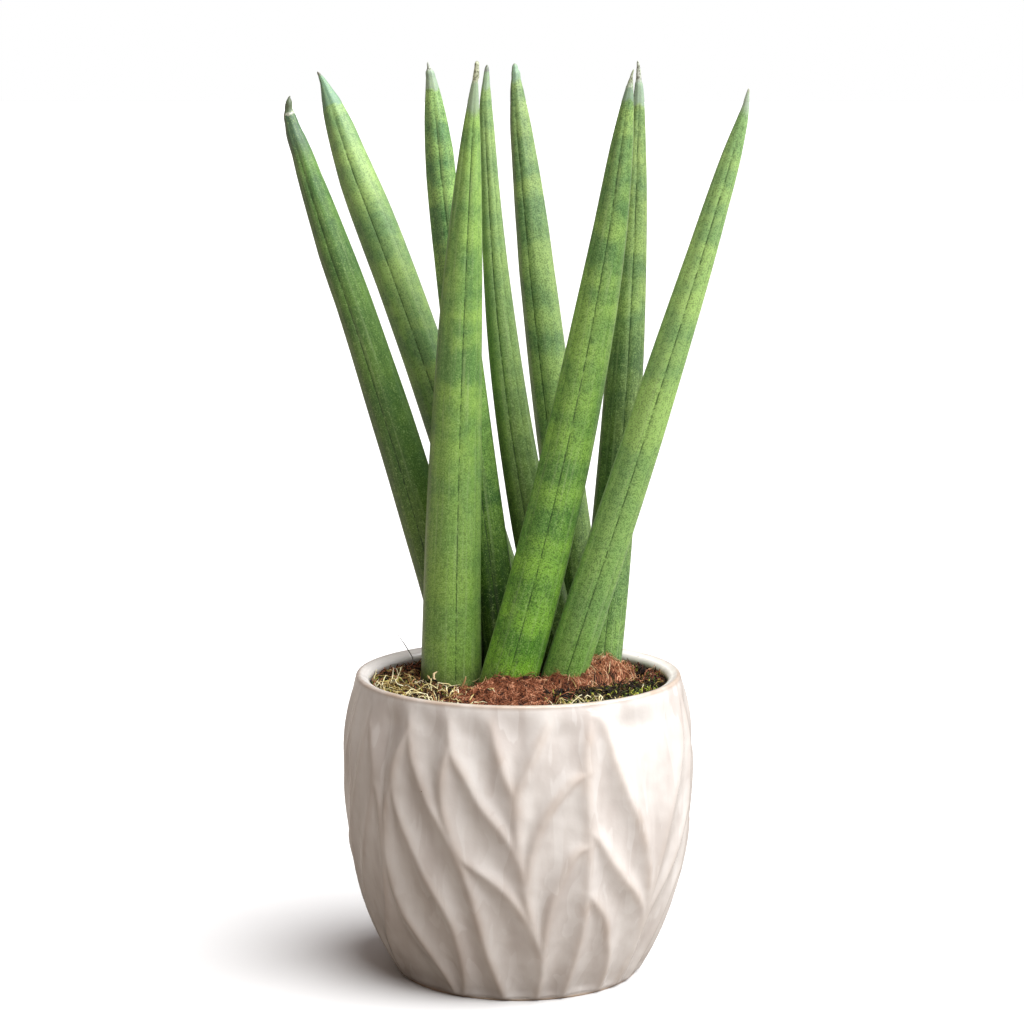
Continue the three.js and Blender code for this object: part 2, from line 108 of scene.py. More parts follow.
# Leaves from left to right at their tips, as in the solids: the foot, the tip, the bow to +X, the diameter
# and the taper. Then come looks:
# groove: the bearing of its clearest groove.
# low, high: its green near the soil and near the tip.
# bands, flecks: how banded and how flecked it is. calm, where given: the share of its bands near its foot.
# cap, cap_green, cap_edge: the length, the colour and the soft edge of its pale cap.
# dry, dry_brown, thin, blunt: the length and the colour of its dry point, and how thin and blunt that is.
# ring: how clear the cream ring round the foot of its dry point is.
# lean, stands: how far its point leans to +X and stands up past the solid's tip.
# tones, where given: (distance below the tip, how light it is there against the rest). This is mostly painted shade,
# darkening a leaf's lower part where it stands in the shade of the leaves around it, and in places the leaf's own
# lighter and darker stretches.
# sides: (distance below the tip, what its radius there adds to the solid's, what the X of its middle adds).
LEAVES = (
    dict(foot=(-20, 27), tip=(-90.5, 31, 333), bow=2.7, diameter=22, taper=47,
         groove=-16, low="#577629", high="#648A50", bands=0.7, flecks=1,
         cap=20, cap_green="#58735A", cap_edge=12, ring=1, dry=5.2, dry_brown="#616E55", thin=0.85,
         blunt=0.9, lean=2.2, stands=2.6,
         sides=((0, 0, 0.6), (1, -0.2, 0.1), (2, 0.35, -0.05), (3, 0.6, -0.15), (4.6, 0.6, -0.4), (5.6, 0.75, -0.5),
                (7, 0.95, -0.25), (9, 0.85, 0), (14, 0.95, 0.2), (20, 0.6, 0.33), (30, 0.35, -0.1), (60, 0.4, -0.38),
                (80, 0, 0))),
    dict(foot=(2.5, 34), tip=(-78, 54, 344.5), bow=3, diameter=20.5, taper=21.5,
         groove=-4, low="#789F52", high="#9CBC80", bands=0.9, flecks=0.8,
         cap=14, cap_green="#7CA084", cap_edge=0.8, ring=0, dry=1.6, dry_brown="#6C6A5C", thin=0.8,
         blunt=0.65, lean=-0.9, stands=0.1,
         sides=((0, 0, 0.3), (2, 0, 0.5), (4.4, -0.35, 0.5), (8, -0.38, 0.2), (12, -0.1, 0.2), (15, 0, 0),
                (23, 0.2, -0.2), (33, 0.25, -0.65), (44, 0.57, -0.85), (54, 0.7, -0.65), (65, 0.6, -0.45),
                (86, 0.25, -0.13), (117, 0, 0))),
    dict(foot=(-4.5, 16), tip=(-34, 19, 348.5), bow=-1, diameter=17.5, taper=25,
         groove=2, low="#62961E", high="#8FB47C", bands=1.3, flecks=1,
         cap=10.5, cap_green="#9CB09C", cap_edge=0.8, ring=0, dry=3.4, dry_brown="#ADB3A8", thin=0.8,
         blunt=0.5, lean=-0.4, stands=0,
         shade_and_tones=((100, 1), (120, 0.85), (163, 0.6), (189, 0.42), (215, 0.25)),
         sides=((2, 0, 0), (3.3, 0.4, 0.1), (4, 0.5, 0.2), (6, 0.2, 0.25), (12, 0.1, 0.25), (20, 0.3, 0.25),
                (34, 0.45, 0.15), (44, 0.2, -0.2), (75, 0, 0))),
    dict(foot=(-26, 6), tip=(-15.5, -12, 349), bow=-2, diameter=34, taper=107,
         groove=10, low="#7CA247", high="#87AE6A", bands=1.1, flecks=0.65, calm=0.45,
         cap=19, cap_green="#9BB095", cap_edge=5, ring=0, dry=8, dry_brown="#C4C9AC", thin=0.8,
         blunt=0.85, lean=0.2, stands=0,
         sides=((0, 0.1, 0.1), (2.5, 0, 0.2), (4, 0.2, 0.25), (6, 0.35, 0.25), (7.5, 0.1, 0), (9, 0, 0))),
    dict(foot=(18.5, 21), tip=(-12, 25, 347), bow=-7.5, diameter=28, taper=148,
         groove=-12, low="#4F6C18", high="#98B87C", bands=0.7, flecks=1,
         cap=9, cap_green="#9DB59A", cap_edge=2, ring=0, dry=2.5, dry_brown="#8D948C", thin=0.9,
         blunt=0.65, lean=0.1, stands=0.4,
         shade_and_tones=((110, 1), (155, 0.82), (215, 0.75)),
         sides=((0, 0, 0), (4, 0.5, -0.2), (8, 0.9, -0.4), (14, 1.1, -0.6), (24, 0.9, -0.4), (45, 0.2, 0),
                (80, 0, 0))),
    dict(foot=(28.5, 37), tip=(-1.5, 58, 346.5), bow=-1.5, diameter=20.5, taper=39.5,
         groove=-24, low="#6A9243", high="#90AB78", bands=1, flecks=0.9,
         cap=6, cap_green="#92B09A", cap_edge=2, ring=0, dry=0.5, dry_brown="#8A9A80", thin=1,
         blunt=1.15, lean=0, stands=1.3,
         shade_and_tones=((148, 1), (165, 0.7), (190, 0.45), (220, 0.3)),
         sides=((1.8, 0, 0), (2.6, 0.2, 0), (3.1, 0.6, 0.2), (7, 0.63, 0), (9, 0.63, 0), (13, 0.42, 0), (24, 0.27, 0),
                (33, 0.05, 0.1), (45, 0, 0.27), (65, 0, 0.3), (80, 0, 0))),
    dict(foot=(-5, -4), tip=(42, -22, 346.5), bow=5, diameter=28.5, taper=72.5,
         groove=-4, low="#6BA32C", high="#8DAE72", bands=1.1, flecks=0.9,
         cap=12, cap_green="#8FA792", cap_edge=1.5, ring=0.8, dry=6, dry_brown="#ABB39C", thin=0.9,
         blunt=0.35, lean=0.3, stands=-0.4,
         sides=((0, 0, 0), (2, 0.05, -0.4), (7, 0.1, -0.45), (30, 0.2, -0.35), (45, 0.05, -0.2), (60, 0, 0))),
    dict(foot=(30.5, 8), tip=(45.5, 17, 349), bow=2.5, diameter=21.5, taper=60,
         groove=8, low="#53733F", high="#8BA76C", bands=1, flecks=0.9,
         cap=17, cap_green="#98AE9C", cap_edge=1.5, ring=0, dry=8, dry_brown="#BCC0B4", thin=0.6,
         blunt=0.55, lean=-0.4, stands=0,
         shade_and_tones=((80, 1.05), (94, 1.15), (108, 0.85), (142, 0.54), (165, 0.75), (200, 1.5)),
         sides=((0, 0, 0.1), (2, 0, 0.3), (3.5, 0.25, 0.35), (6.3, 0.45, 0.4), (7.8, 0.1, 0.4), (10, 0.1, 0.5),
                (16, 0, 0.45), (24, 0, 0.2), (34, 0, 0))),
    dict(foot=(15.5, -4), tip=(83.5, -38, 338.5), bow=1, diameter=21.5, taper=64,
         groove=2, low="#6F9E48", high="#B6DE92", bands=0.8, flecks=0.98, calm=0.6,
         cap=8, cap_green="#BCCCB8", cap_edge=6, ring=0, dry=1, dry_brown="#B9BDAA", thin=1,
         blunt=0.7, lean=0, stands=0.8,
         sides=((0, 0, -0.2), (1, -0.2, -0.15), (2, -0.1, -0.1), (4, 0.3, 0.15), (6, 0.38, 0.4), (12, 0.5, 0.65),
                (24, 0.55, 0.65), (34, 0.4, 0.65), (43, 0.2, 0.6), (63, 0.05, 0.62), (93, 0, 0.55), (122, 0, 0.4),
                (161, 0, 0.35), (200, 0, 0))),
)
GROOVES, GROOVE_DEPTH, GROOVE_HALF_WIDTH, GROOVE_FADE = 8, 0.45, 0.5, (5, 40)
# A leaf's lean and its rise past the solid's tip run out this far below its dry point.
POINT_REACH = 7
# How much lighter a light band is than the leaf's green, and how much darker a dark one, in red, green, blue.
LIGHT_BAND, DARK_BAND = (0.30, 0.24, -0.04), (0.36, 0.26, 0.31)
# The blank that leaves are shaped from is 1 long from soil to tip, and its root goes this far below.
ROOT_SPAN, BLANK_ROWS, ROOT_ROWS, COLUMNS_PER_GROOVE = 0.12, 170, 8, 14

# The coir lies from one bearing to another. Its front apron reaches the wall and ends between two more.
COIR_FROM, COIR_TO = -44, 106
COIR_APRON_ENDS, COIR_INSIDE, COIR_OUTSIDE, COIR_OUTER_SHARE = (12, 28), 9, 8, 0.4
# The hump that the coir is heaped in, as (bearing, radius, rise).
COIR_HUMP = (
    (-44, 27, 3.6), (-25, 17, 6), (0, 16, 6), (22, 16.5, 4.6), (45, 19, 5.2), (60, 22.5, 8), (77, 28, 9.4),
    (90, 35, 10.6), (106, 42, 8),
)
MOSS_RIGHT = (16, 154)
MOSS_LEFT = (-44.8, -168)
MOSS_LEFT_INNER, MOSS_LEFT_NARROWS = (22, 42), (26, 120)
MOSS_THICKNESS, MOSS_BACK_SHARE, MOSS_THINS_OVER = 3.2, 0.8, (60, 160)
MOSS_GAP, MOSS_LEAST_WIDTH = 0.8, 2
# The heights at which the leaves are taken as round where strands and pads keep clear of them.
STRAND_HEIGHT, PAD_HEIGHT = 114, 113

# ---- Camera and light ----

# The photograph's camera: its lens in millimetres, its shift, its place in metres and its tilt in radians.
LENS, SHIFT = 105.8, -0.00615
CAMERA_PLACE, CAMERA_TILT = (0, -1.135, 0.3525), 0.152
# One broad light from the upper right in front: its strength, the way it shines and its width in degrees.
KEY_STRENGTH, KEY_WAY, KEY_WIDTH = 6.3, (-0.5, 0.26, -0.82), 72

# ---- Numbers ----


def smoothstep(low, high, x):
    t = np.clip((x - low) / (high - low), 0, 1)
    return t * t * (3 - 2 * t)


def lerp(a, b, t):
    return a + (b - a) * t


def waves(x, y, length, seed):
    """A smooth unevenness between about -1 and 1, as a sum of sines a few lengths long."""
    mix = np.random.default_rng(seed)
    total = 0
    for share in (0.5, 0.3, 0.2):
        turn, start = mix.uniform(0, 2 * math.pi, 2)
        k = 2 * math.pi / (length * mix.uniform(0.7, 1.4))
        total = total + share * np.sin(k * (x * math.cos(turn) + y * math.sin(turn)) + start)
    return total


# ---- Meshes ----


def coordinates(piece):
    """The piece's vertices as an array, in millimetres."""
    found = np.empty(len(piece.data.vertices) * 3, np.float32)
    piece.data.vertices.foreach_get("co", found)
    return found.reshape(-1, 3).astype(float) / MM


def place(piece, points):
    """Moves the piece's vertices to these places, in millimetres."""
    piece.data.vertices.foreach_set("co", (np.asarray(points) * MM).astype(np.float32).ravel())
    piece.data.update()


def attribute(piece, name, values):
    """Gives each vertex a number, or three, that the materials read."""
    values = np.asarray(values, np.float32)
    kind, field = ("FLOAT", "value") if values.ndim == 1 else ("FLOAT_VECTOR", "vector")
    piece.data.attributes.new(name, kind, "POINT").data.foreach_set(field, values.ravel())


def turned(name, profile, steps):
    """A closed body of revolution about Z from (radius, height) points that start and end on the axis."""
    bpy.ops.mesh.primitive_plane_add(size=MM)
    piece = bpy.context.object
    piece.name = piece.data.name = name
    bpy.ops.object.mode_set(mode="EDIT")
    bpy.ops.mesh.select_all(action="SELECT")
    bpy.ops.mesh.merge(type="CENTER")
    here = (0, 0)
    for i, there in enumerate(profile):
        move = ((there[0] - here[0]) * MM, 0, (there[1] - here[1]) * MM)
        if i == 0:
            bpy.ops.transform.translate(value=move)
        else:
            bpy.ops.mesh.extrude_region_move(TRANSFORM_OT_translate={"value": move})
        here = there
    bpy.ops.object.mode_set(mode="OBJECT")
    screw = piece.modifiers.new("turn", "SCREW")
    screw.angle = 2 * math.pi
    screw.steps = screw.render_steps = steps
    screw.use_merge_vertices = True
    screw.merge_threshold = 0.01 * MM
    screw.use_smooth_shade = True
    bpy.ops.object.modifier_apply(modifier=screw.name)
    face_outwards(piece)
    return piece


def face_outwards(piece):
    mesh = bmesh.new()
    mesh.from_mesh(piece.data)
    bmesh.ops.remove_doubles(mesh, verts=mesh.verts, dist=0.001 * MM)
    bmesh.ops.recalc_face_normals(mesh, faces=mesh.faces)
    mesh.to_mesh(piece.data)
    mesh.free()


def finished(piece, material, slot, *nodes):
    """Gives a piece its finish, and lets it ride with the plant in place of these nodes."""
    piece.data.materials.clear()
    piece.data.materials.append(material)
    piece.select_set(False)
    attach(piece, "root")
    if nodes:
        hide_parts(*nodes)
    return piece


# ---- Materials ----


def colour(code):
    """An sRGB hex colour as linear light."""
    parts = [int(code[i : i + 2], 16) / 255 for i in (1, 3, 5)]
    return (*[p / 12.92 if p <= 0.04045 else ((p + 0.055) / 1.055) ** 2.4 for p in parts], 1)


def add(tree, kind, inputs=None, stops=None, **settings):
    """One node, with its settings, and with its inputs as values or as other nodes' outputs."""
    made = tree.nodes.new(kind)
    for key, value in settings.items():
        setattr(made, key, value)
    for key, value in (inputs or {}).items():
        if isinstance(value, bpy.types.NodeSocket):
            tree.links.new(value, made.inputs[key])
        else:
            made.inputs[key].default_value = value
    if stops:
        ramp = made.color_ramp.elements
        while len(ramp) < len(stops):
            ramp.new(1)
        for element, (position, tint) in zip(ramp, stops):
            element.position = position
            element.color = colour(tint) if isinstance(tint, str) else (tint, tint, tint, 1)
    return made


def new_material(name):
    material = bpy.data.materials.new(name)
    material.use_nodes = True
    tree = material.node_tree
    return material, tree, tree.nodes["Principled BSDF"]


def blended(tree, share, first, second):
    """A mix of two colours, each a hex code or another node's output."""
    pick = lambda c: colour(c) if isinstance(c, str) else c
    made = add(tree, "ShaderNodeMix", {"Factor": share}, data_type="RGBA")
    for socket, value in zip((made.inputs[6], made.inputs[7]), (pick(first), pick(second))):
        if isinstance(value, bpy.types.NodeSocket):
            tree.links.new(value, socket)
        else:
            socket.default_value = value
    return made.outputs[2]


def glazed_stoneware():
    """Stoneware under a gloss glaze: off-white, and whiter inside the mouth, where pooled glaze and painted light
    lighten it; tan where it thins on the crests.
    """
    material, tree, shader = new_material("glazed stoneware")
    where = add(tree, "ShaderNodeTexCoord").outputs["Object"]
    worn = add(tree, "ShaderNodeAttribute", attribute_name="thin_glaze").outputs["Fac"]
    inside = add(tree, "ShaderNodeAttribute", attribute_name="inside").outputs["Fac"]
    bare = add(tree, "ShaderNodeAttribute", attribute_name="bare").outputs["Fac"]
    # The glaze ran down as it melted, in faint streaks about a centimetre wide.
    run = add(tree, "ShaderNodeMapping", {"Vector": where, "Scale": (75, 75, 26)}).outputs[0]
    cloud = add(tree, "ShaderNodeTexNoise", {"Vector": run, "Scale": 1, "Detail": 3}).outputs["Fac"]
    cloud = add(tree, "ShaderNodeMapRange", {"Value": cloud, "From Min": 0.35, "From Max": 0.65}).outputs[0]
    glaze = blended(tree, cloud, "#C5BDB7", "#DBD6D1")
    # Here and there a run of it stopped with a sharp edge.
    run = add(tree, "ShaderNodeMapping", {"Vector": where, "Scale": (130, 130, 34)}).outputs[0]
    drips = add(tree, "ShaderNodeTexNoise", {"Vector": run, "Scale": 1, "Detail": 2, "Distortion": 0.6}).outputs["Fac"]
    drips = add(
        tree, "ShaderNodeMapRange", {"Value": drips, "From Min": 0.53, "From Max": 0.56, "To Max": 0.4}
    ).outputs[0]
    glaze = blended(tree, drips, glaze, "#DFDBD7")
    # Where it is thin it shows the clay in patches of a centimetre or so.
    patchy = add(tree, "ShaderNodeTexNoise", {"Vector": where, "Scale": 85, "Detail": 2}).outputs["Fac"]
    patchy = add(
        tree, "ShaderNodeMapRange", {"Value": patchy, "From Min": 0.35, "From Max": 0.65, "To Min": 0.4}
    ).outputs[0]
    thin = add(tree, "ShaderNodeMath", {0: worn, 1: patchy}, operation="MULTIPLY").outputs[0]
    glaze = blended(tree, thin, glaze, "#B39E8B")
    # Inside the mouth it is near white: partly glaze pooled thick there, and partly painted light that lifts the inner
    # wall out of its shade.
    glaze = blended(tree, inside, glaze, "#F0EBE6")
    # Iron specks in the clay, about half a millimetre across and a centimetre or two apart.
    cells = add(tree, "ShaderNodeTexVoronoi", {"Vector": where, "Scale": 75})
    near = add(tree, "ShaderNodeValToRGB", {"Fac": cells.outputs["Distance"]}, stops=((0.012, 1.0), (0.026, 0.0)))
    rare = add(tree, "ShaderNodeValToRGB", {"Fac": cells.outputs["Color"]}, stops=((0.5, 0.0), (0.52, 1.0)))
    speck = add(tree, "ShaderNodeMath", {0: near.outputs[0], 1: rare.outputs[0]}, operation="MULTIPLY").outputs[0]
    glaze = blended(tree, speck, glaze, "#6E5C4C")
    surface = blended(tree, bare, glaze, "#B79A7C")
    tree.links.new(surface, shader.inputs["Base Color"])
    gloss = add(tree, "ShaderNodeMapRange", {"Value": bare, "To Min": 0.14, "To Max": 0.85}).outputs[0]
    tree.links.new(gloss, shader.inputs["Roughness"])
    shader.inputs["IOR"].default_value = 1.5
    # The glaze flows a little unevenly, over a centimetre or so, and has a fine orange peel.
    flow = add(tree, "ShaderNodeTexNoise", {"Vector": where, "Scale": 110, "Detail": 1}).outputs["Fac"]
    peel = add(tree, "ShaderNodeTexNoise", {"Vector": where, "Scale": 900, "Detail": 0}).outputs["Fac"]
    bump = add(tree, "ShaderNodeBump", {"Height": flow, "Distance": 0.5 * MM, "Strength": 1})
    bump = add(
        tree, "ShaderNodeBump", {"Height": peel, "Distance": 0.02 * MM, "Strength": 1, "Normal": bump.outputs[0]}
    )
    tree.links.new(bump.outputs[0], shader.inputs["Normal"])
    return material


def leaf_skin():
    """The skin of a succulent leaf: waxy, in soft light and dark green cross-bands, finely flecked with some painted
    glints, with thin dark lines in its grooves that are partly painted shade, a pale cap and a dry point."""
    material, tree, shader = new_material("snake plant leaf")
    read = lambda name, out="Fac": add(tree, "ShaderNodeAttribute", attribute_name=name).outputs[out]
    # The place on the leaf before it leaned and bowed, so that bands and flecks follow it.
    where = read("unbent", "Vector")
    flecked, groove, groove_away, dry, ring = map(read, ("flecks", "groove", "groove_away", "dry", "ring"))

    # Bands one to three centimetres apart with ragged edges, broken up by blotches of a few millimetres.
    ragged = add(tree, "ShaderNodeTexNoise", {"Vector": where, "Scale": 380, "Detail": 3}).outputs["Color"]
    band_place = add(
        tree, "ShaderNodeVectorMath", {0: ragged, 1: (0, 0, 6 * MM), 2: where}, operation="MULTIPLY_ADD"
    ).outputs[0]
    band_place = add(tree, "ShaderNodeMapping", {"Vector": band_place, "Scale": (22, 22, 78)}).outputs[0]
    bands = add(tree, "ShaderNodeTexNoise", {"Vector": band_place, "Scale": 1, "Detail": 1}).outputs["Fac"]
    blotches = add(tree, "ShaderNodeTexNoise", {"Vector": where, "Scale": 150, "Detail": 2}).outputs["Fac"]
    bands = add(tree, "ShaderNodeMath", {0: blotches, 1: 0.55, 2: bands}, operation="MULTIPLY_ADD").outputs[0]
    bands = add(tree, "ShaderNodeMapRange", {"Value": bands, "From Min": 0.62, "From Max": 0.93}).outputs[0]
    green = blended(tree, bands, read("dark_band", "Vector"), read("light_band", "Vector"))

    # Flecks are a quarter of a millimetre on the leaf, and drawn twice that so that they show.
    grain = add(tree, "ShaderNodeTexNoise", {"Vector": where, "Scale": 2000, "Detail": 1}).outputs["Fac"]
    clumps = add(tree, "ShaderNodeTexNoise", {"Vector": where, "Scale": 520, "Detail": 1}).outputs["Fac"]
    grain = add(tree, "ShaderNodeMath", {0: clumps, 1: 0.35, 2: grain}, operation="MULTIPLY_ADD").outputs[0]
    fleck = add(tree, "ShaderNodeMapRange", {"Value": grain, "From Min": 0.695, "From Max": 0.555}).outputs[0]
    fleck = add(tree, "ShaderNodeMath", {0: fleck, 1: flecked}, operation="MULTIPLY").outputs[0]
    faint = add(tree, "ShaderNodeMath", {0: fleck, 1: 0.55}, operation="MULTIPLY").outputs[0]
    green = blended(tree, faint, green, "#27431B")
    # The pale flecks in the same grain are painted glints of the waxy skin.
    painted_gleam = add(tree, "ShaderNodeMapRange", {"Value": grain, "From Min": 0.77, "From Max": 0.9}).outputs[0]
    painted_gleam = add(tree, "ShaderNodeMath", {0: painted_gleam, 1: 0.5}, operation="MULTIPLY").outputs[0]
    green = blended(tree, painted_gleam, green, "#A2BF78")
    # Faint pale streaks about a millimetre wide and five centimetres long.
    streak_place = add(tree, "ShaderNodeMapping", {"Vector": where, "Scale": (900, 900, 18)}).outputs[0]
    streaks = add(tree, "ShaderNodeTexNoise", {"Vector": streak_place, "Scale": 1, "Detail": 1}).outputs["Fac"]
    streaks = add(
        tree, "ShaderNodeMapRange", {"Value": streaks, "From Min": 0.55, "From Max": 0.8, "To Max": 0.3}
    ).outputs[0]
    green = blended(tree, streaks, green, "#A9BF86")

    # The dark line in a groove is about half a millimetre wide, and breaks up here and there. It is partly the leaf's
    # own dark green line and partly painted shade in the groove.
    line = add(tree, "ShaderNodeMapRange", {"Value": groove_away, "From Min": 0.38, "From Max": 0.1}).outputs[0]
    broken = add(tree, "ShaderNodeMapRange", {"Value": ragged, "From Min": 0.38, "From Max": 0.52}).outputs[0]
    line = add(tree, "ShaderNodeMath", {0: line, 1: broken}, operation="MULTIPLY").outputs[0]
    line = add(tree, "ShaderNodeMath", {0: line, 1: groove}, operation="MULTIPLY").outputs[0]
    line_and_shade = add(tree, "ShaderNodeMath", {0: line, 1: 0.78}, operation="MULTIPLY").outputs[0]
    green = blended(tree, line_and_shade, green, "#213D14")

    # The dry point has dark pits about a millimetre apart, and the ring round its foot is flaked.
    bark = add(tree, "ShaderNodeTexNoise", {"Vector": where, "Scale": 1100, "Detail": 2}).outputs["Fac"]
    pits = add(tree, "ShaderNodeMapRange", {"Value": bark, "From Min": 0.5, "From Max": 0.42, "To Max": 0.7}).outputs[0]
    pits = add(tree, "ShaderNodeMath", {0: pits, 1: dry}, operation="MULTIPLY").outputs[0]
    skin = blended(tree, pits, green, "#5A5A48")
    flaked = add(tree, "ShaderNodeMapRange", {"Value": bark, "From Min": 0.42, "From Max": 0.55}).outputs[0]
    flaked = add(tree, "ShaderNodeMath", {0: flaked, 1: ring}, operation="MULTIPLY").outputs[0]
    skin = blended(tree, flaked, skin, "#DEDCCB")
    tree.links.new(skin, shader.inputs["Base Color"])
    shader.inputs["Roughness"].default_value = 0.38
    shader.inputs["IOR"].default_value = 1.42
    # A thin bloom of wax greys the leaf where it turns away.
    shader.inputs["Sheen Weight"].default_value = 0.06
    shader.inputs["Sheen Roughness"].default_value = 0.35
    shader.inputs["Sheen Tint"].default_value = colour("#C9BCC0")
    bump = add(tree, "ShaderNodeBump", {"Height": grain, "Distance": 0.06 * MM, "Strength": 0.8})
    tree.links.new(bump.outputs[0], shader.inputs["Normal"])
    return material


def earth():
    """Moist potting mix: dark, crumbly and matt."""
    material, tree, shader = new_material("potting soil")
    where = add(tree, "ShaderNodeTexCoord").outputs["Object"]
    grain = add(tree, "ShaderNodeTexNoise", {"Vector": where, "Scale": 600, "Detail": 4}).outputs["Fac"]
    tint = add(
        tree, "ShaderNodeValToRGB", {"Fac": grain}, stops=((0.35, "#17100B"), (0.55, "#3A291D"), (0.7, "#6A5038"))
    ).outputs[0]
    tree.links.new(tint, shader.inputs["Base Color"])
    shader.inputs["Roughness"].default_value = 0.95
    bump = add(tree, "ShaderNodeBump", {"Height": grain, "Distance": 0.8 * MM, "Strength": 1})
    tree.links.new(bump.outputs[0], shader.inputs["Normal"])
    return material


def fibre(name, stops, roughness=0.75):
    """Dry or green plant fibre, each strand of its own tint, and mottled from place to place."""
    material, tree, shader = new_material(name)
    where = add(tree, "ShaderNodeTexCoord").outputs["Object"]
    own = add(tree, "ShaderNodeNewGeometry").outputs["Random Per Island"]
    mottle = add(tree, "ShaderNodeTexNoise", {"Vector": where, "Scale": 280, "Detail": 3}).outputs["Fac"]
    mottle = add(tree, "ShaderNodeMapRange", {"Value": mottle, "From Min": 0.3, "From Max": 0.7}).outputs[0]
    mixed = add(tree, "ShaderNodeMix", {"Factor": 0.5, "A": own, "B": mottle}).outputs[0]
    tint = add(tree, "ShaderNodeValToRGB", {"Fac": mixed}, stops=stops).outputs[0]
    tree.links.new(tint, shader.inputs["Base Color"])
    shader.inputs["Roughness"].default_value = roughness
    shader.inputs["Specular IOR Level"].default_value = 0.3
    return material


# ---- Pot ----


def wall_radius(height):
    """The radius of the pot's outside, without its relief."""
    below = height < BELLY_HEIGHT
    end = np.where(below, FOOT_RADIUS, RIM_RADIUS)
    span = np.where(below, BELLY_HEIGHT, POT_HEIGHT - BELLY_HEIGHT)
    share = np.abs(height - BELLY_HEIGHT) / span
    return BELLY_RADIUS - (BELLY_RADIUS - end) * share ** np.where(below, LOWER_BULGE, UPPER_BULGE)


def inner_radius(height):
    """The radius of the pot's inside."""
    return wall_radius(height) - WALL


def crest_lines():
    """The crests as smooth chains of points on the unrolled wall."""
    share = np.linspace(0, 1, CREST_STEPS + 1)[1:, None]
    lines = []
    for crest in CRESTS:
        p = np.array(crest, float) * (math.radians(UNROLL_RADIUS), 1)
        p = np.vstack((p[0], p, p[-1]))
        line = [p[1:2]]
        for before, here, there, after in zip(p, p[1:], p[2:], p[3:]):
            line.append(
                here
                + share * (there - before) / 2
                + share**2 * (before - 2.5 * here + 2 * there - after / 2)
                + share**3 * (1.5 * (here - there) + (after - before) / 2)
            )
        lines.append(np.vstack(line))
    return lines


def fold_into_panel(bearing):
    """The bearing in the front panel that looks the same as this one anywhere round the pot."""
    from_start = (bearing - PANEL_START) % 360
    past = (from_start - PANEL_WIDTH) / ((360 - PANEL_WIDTH) / (PANEL_COUNT - 1))
    share = past % 1
    share = np.where(np.floor(past) % 2 == 0, 1 - share, share)
    return PANEL_START + np.where(from_start <= PANEL_WIDTH, from_start, PANEL_WIDTH * share)


def crest_nearness(bearing, height):
    """1 on a crest of the relief, down to 0 where its flanks have run out. The distances to all the crests
    are blended, so that the hollows between them have round floors."""
    x = np.radians(fold_into_panel(bearing)) * UNROLL_RADIUS
    closeness = np.zeros(len(x))
    for line in crest_lines():
        nearest = np.full(len(x), np.inf)
        for (ax, ay), (bx, by) in zip(line, line[1:]):
            dx, dy = bx - ax, by - ay
            share = np.clip(((x - ax) * dx + (height - ay) * dy) / (dx * dx + dy * dy), 0, 1)
            nearest = np.minimum(nearest, np.hypot(x - ax - share * dx, height - ay - share * dy))
        closeness += np.maximum(nearest, 0.01) ** -HOLLOW_ROUNDING
    away = closeness ** (-1 / HOLLOW_ROUNDING)
    away = np.hypot(away, CREST_SOFTNESS) - CREST_SOFTNESS
    return np.maximum(0, 1 - away / RELIEF_REACH) ** FLANK_CURVE


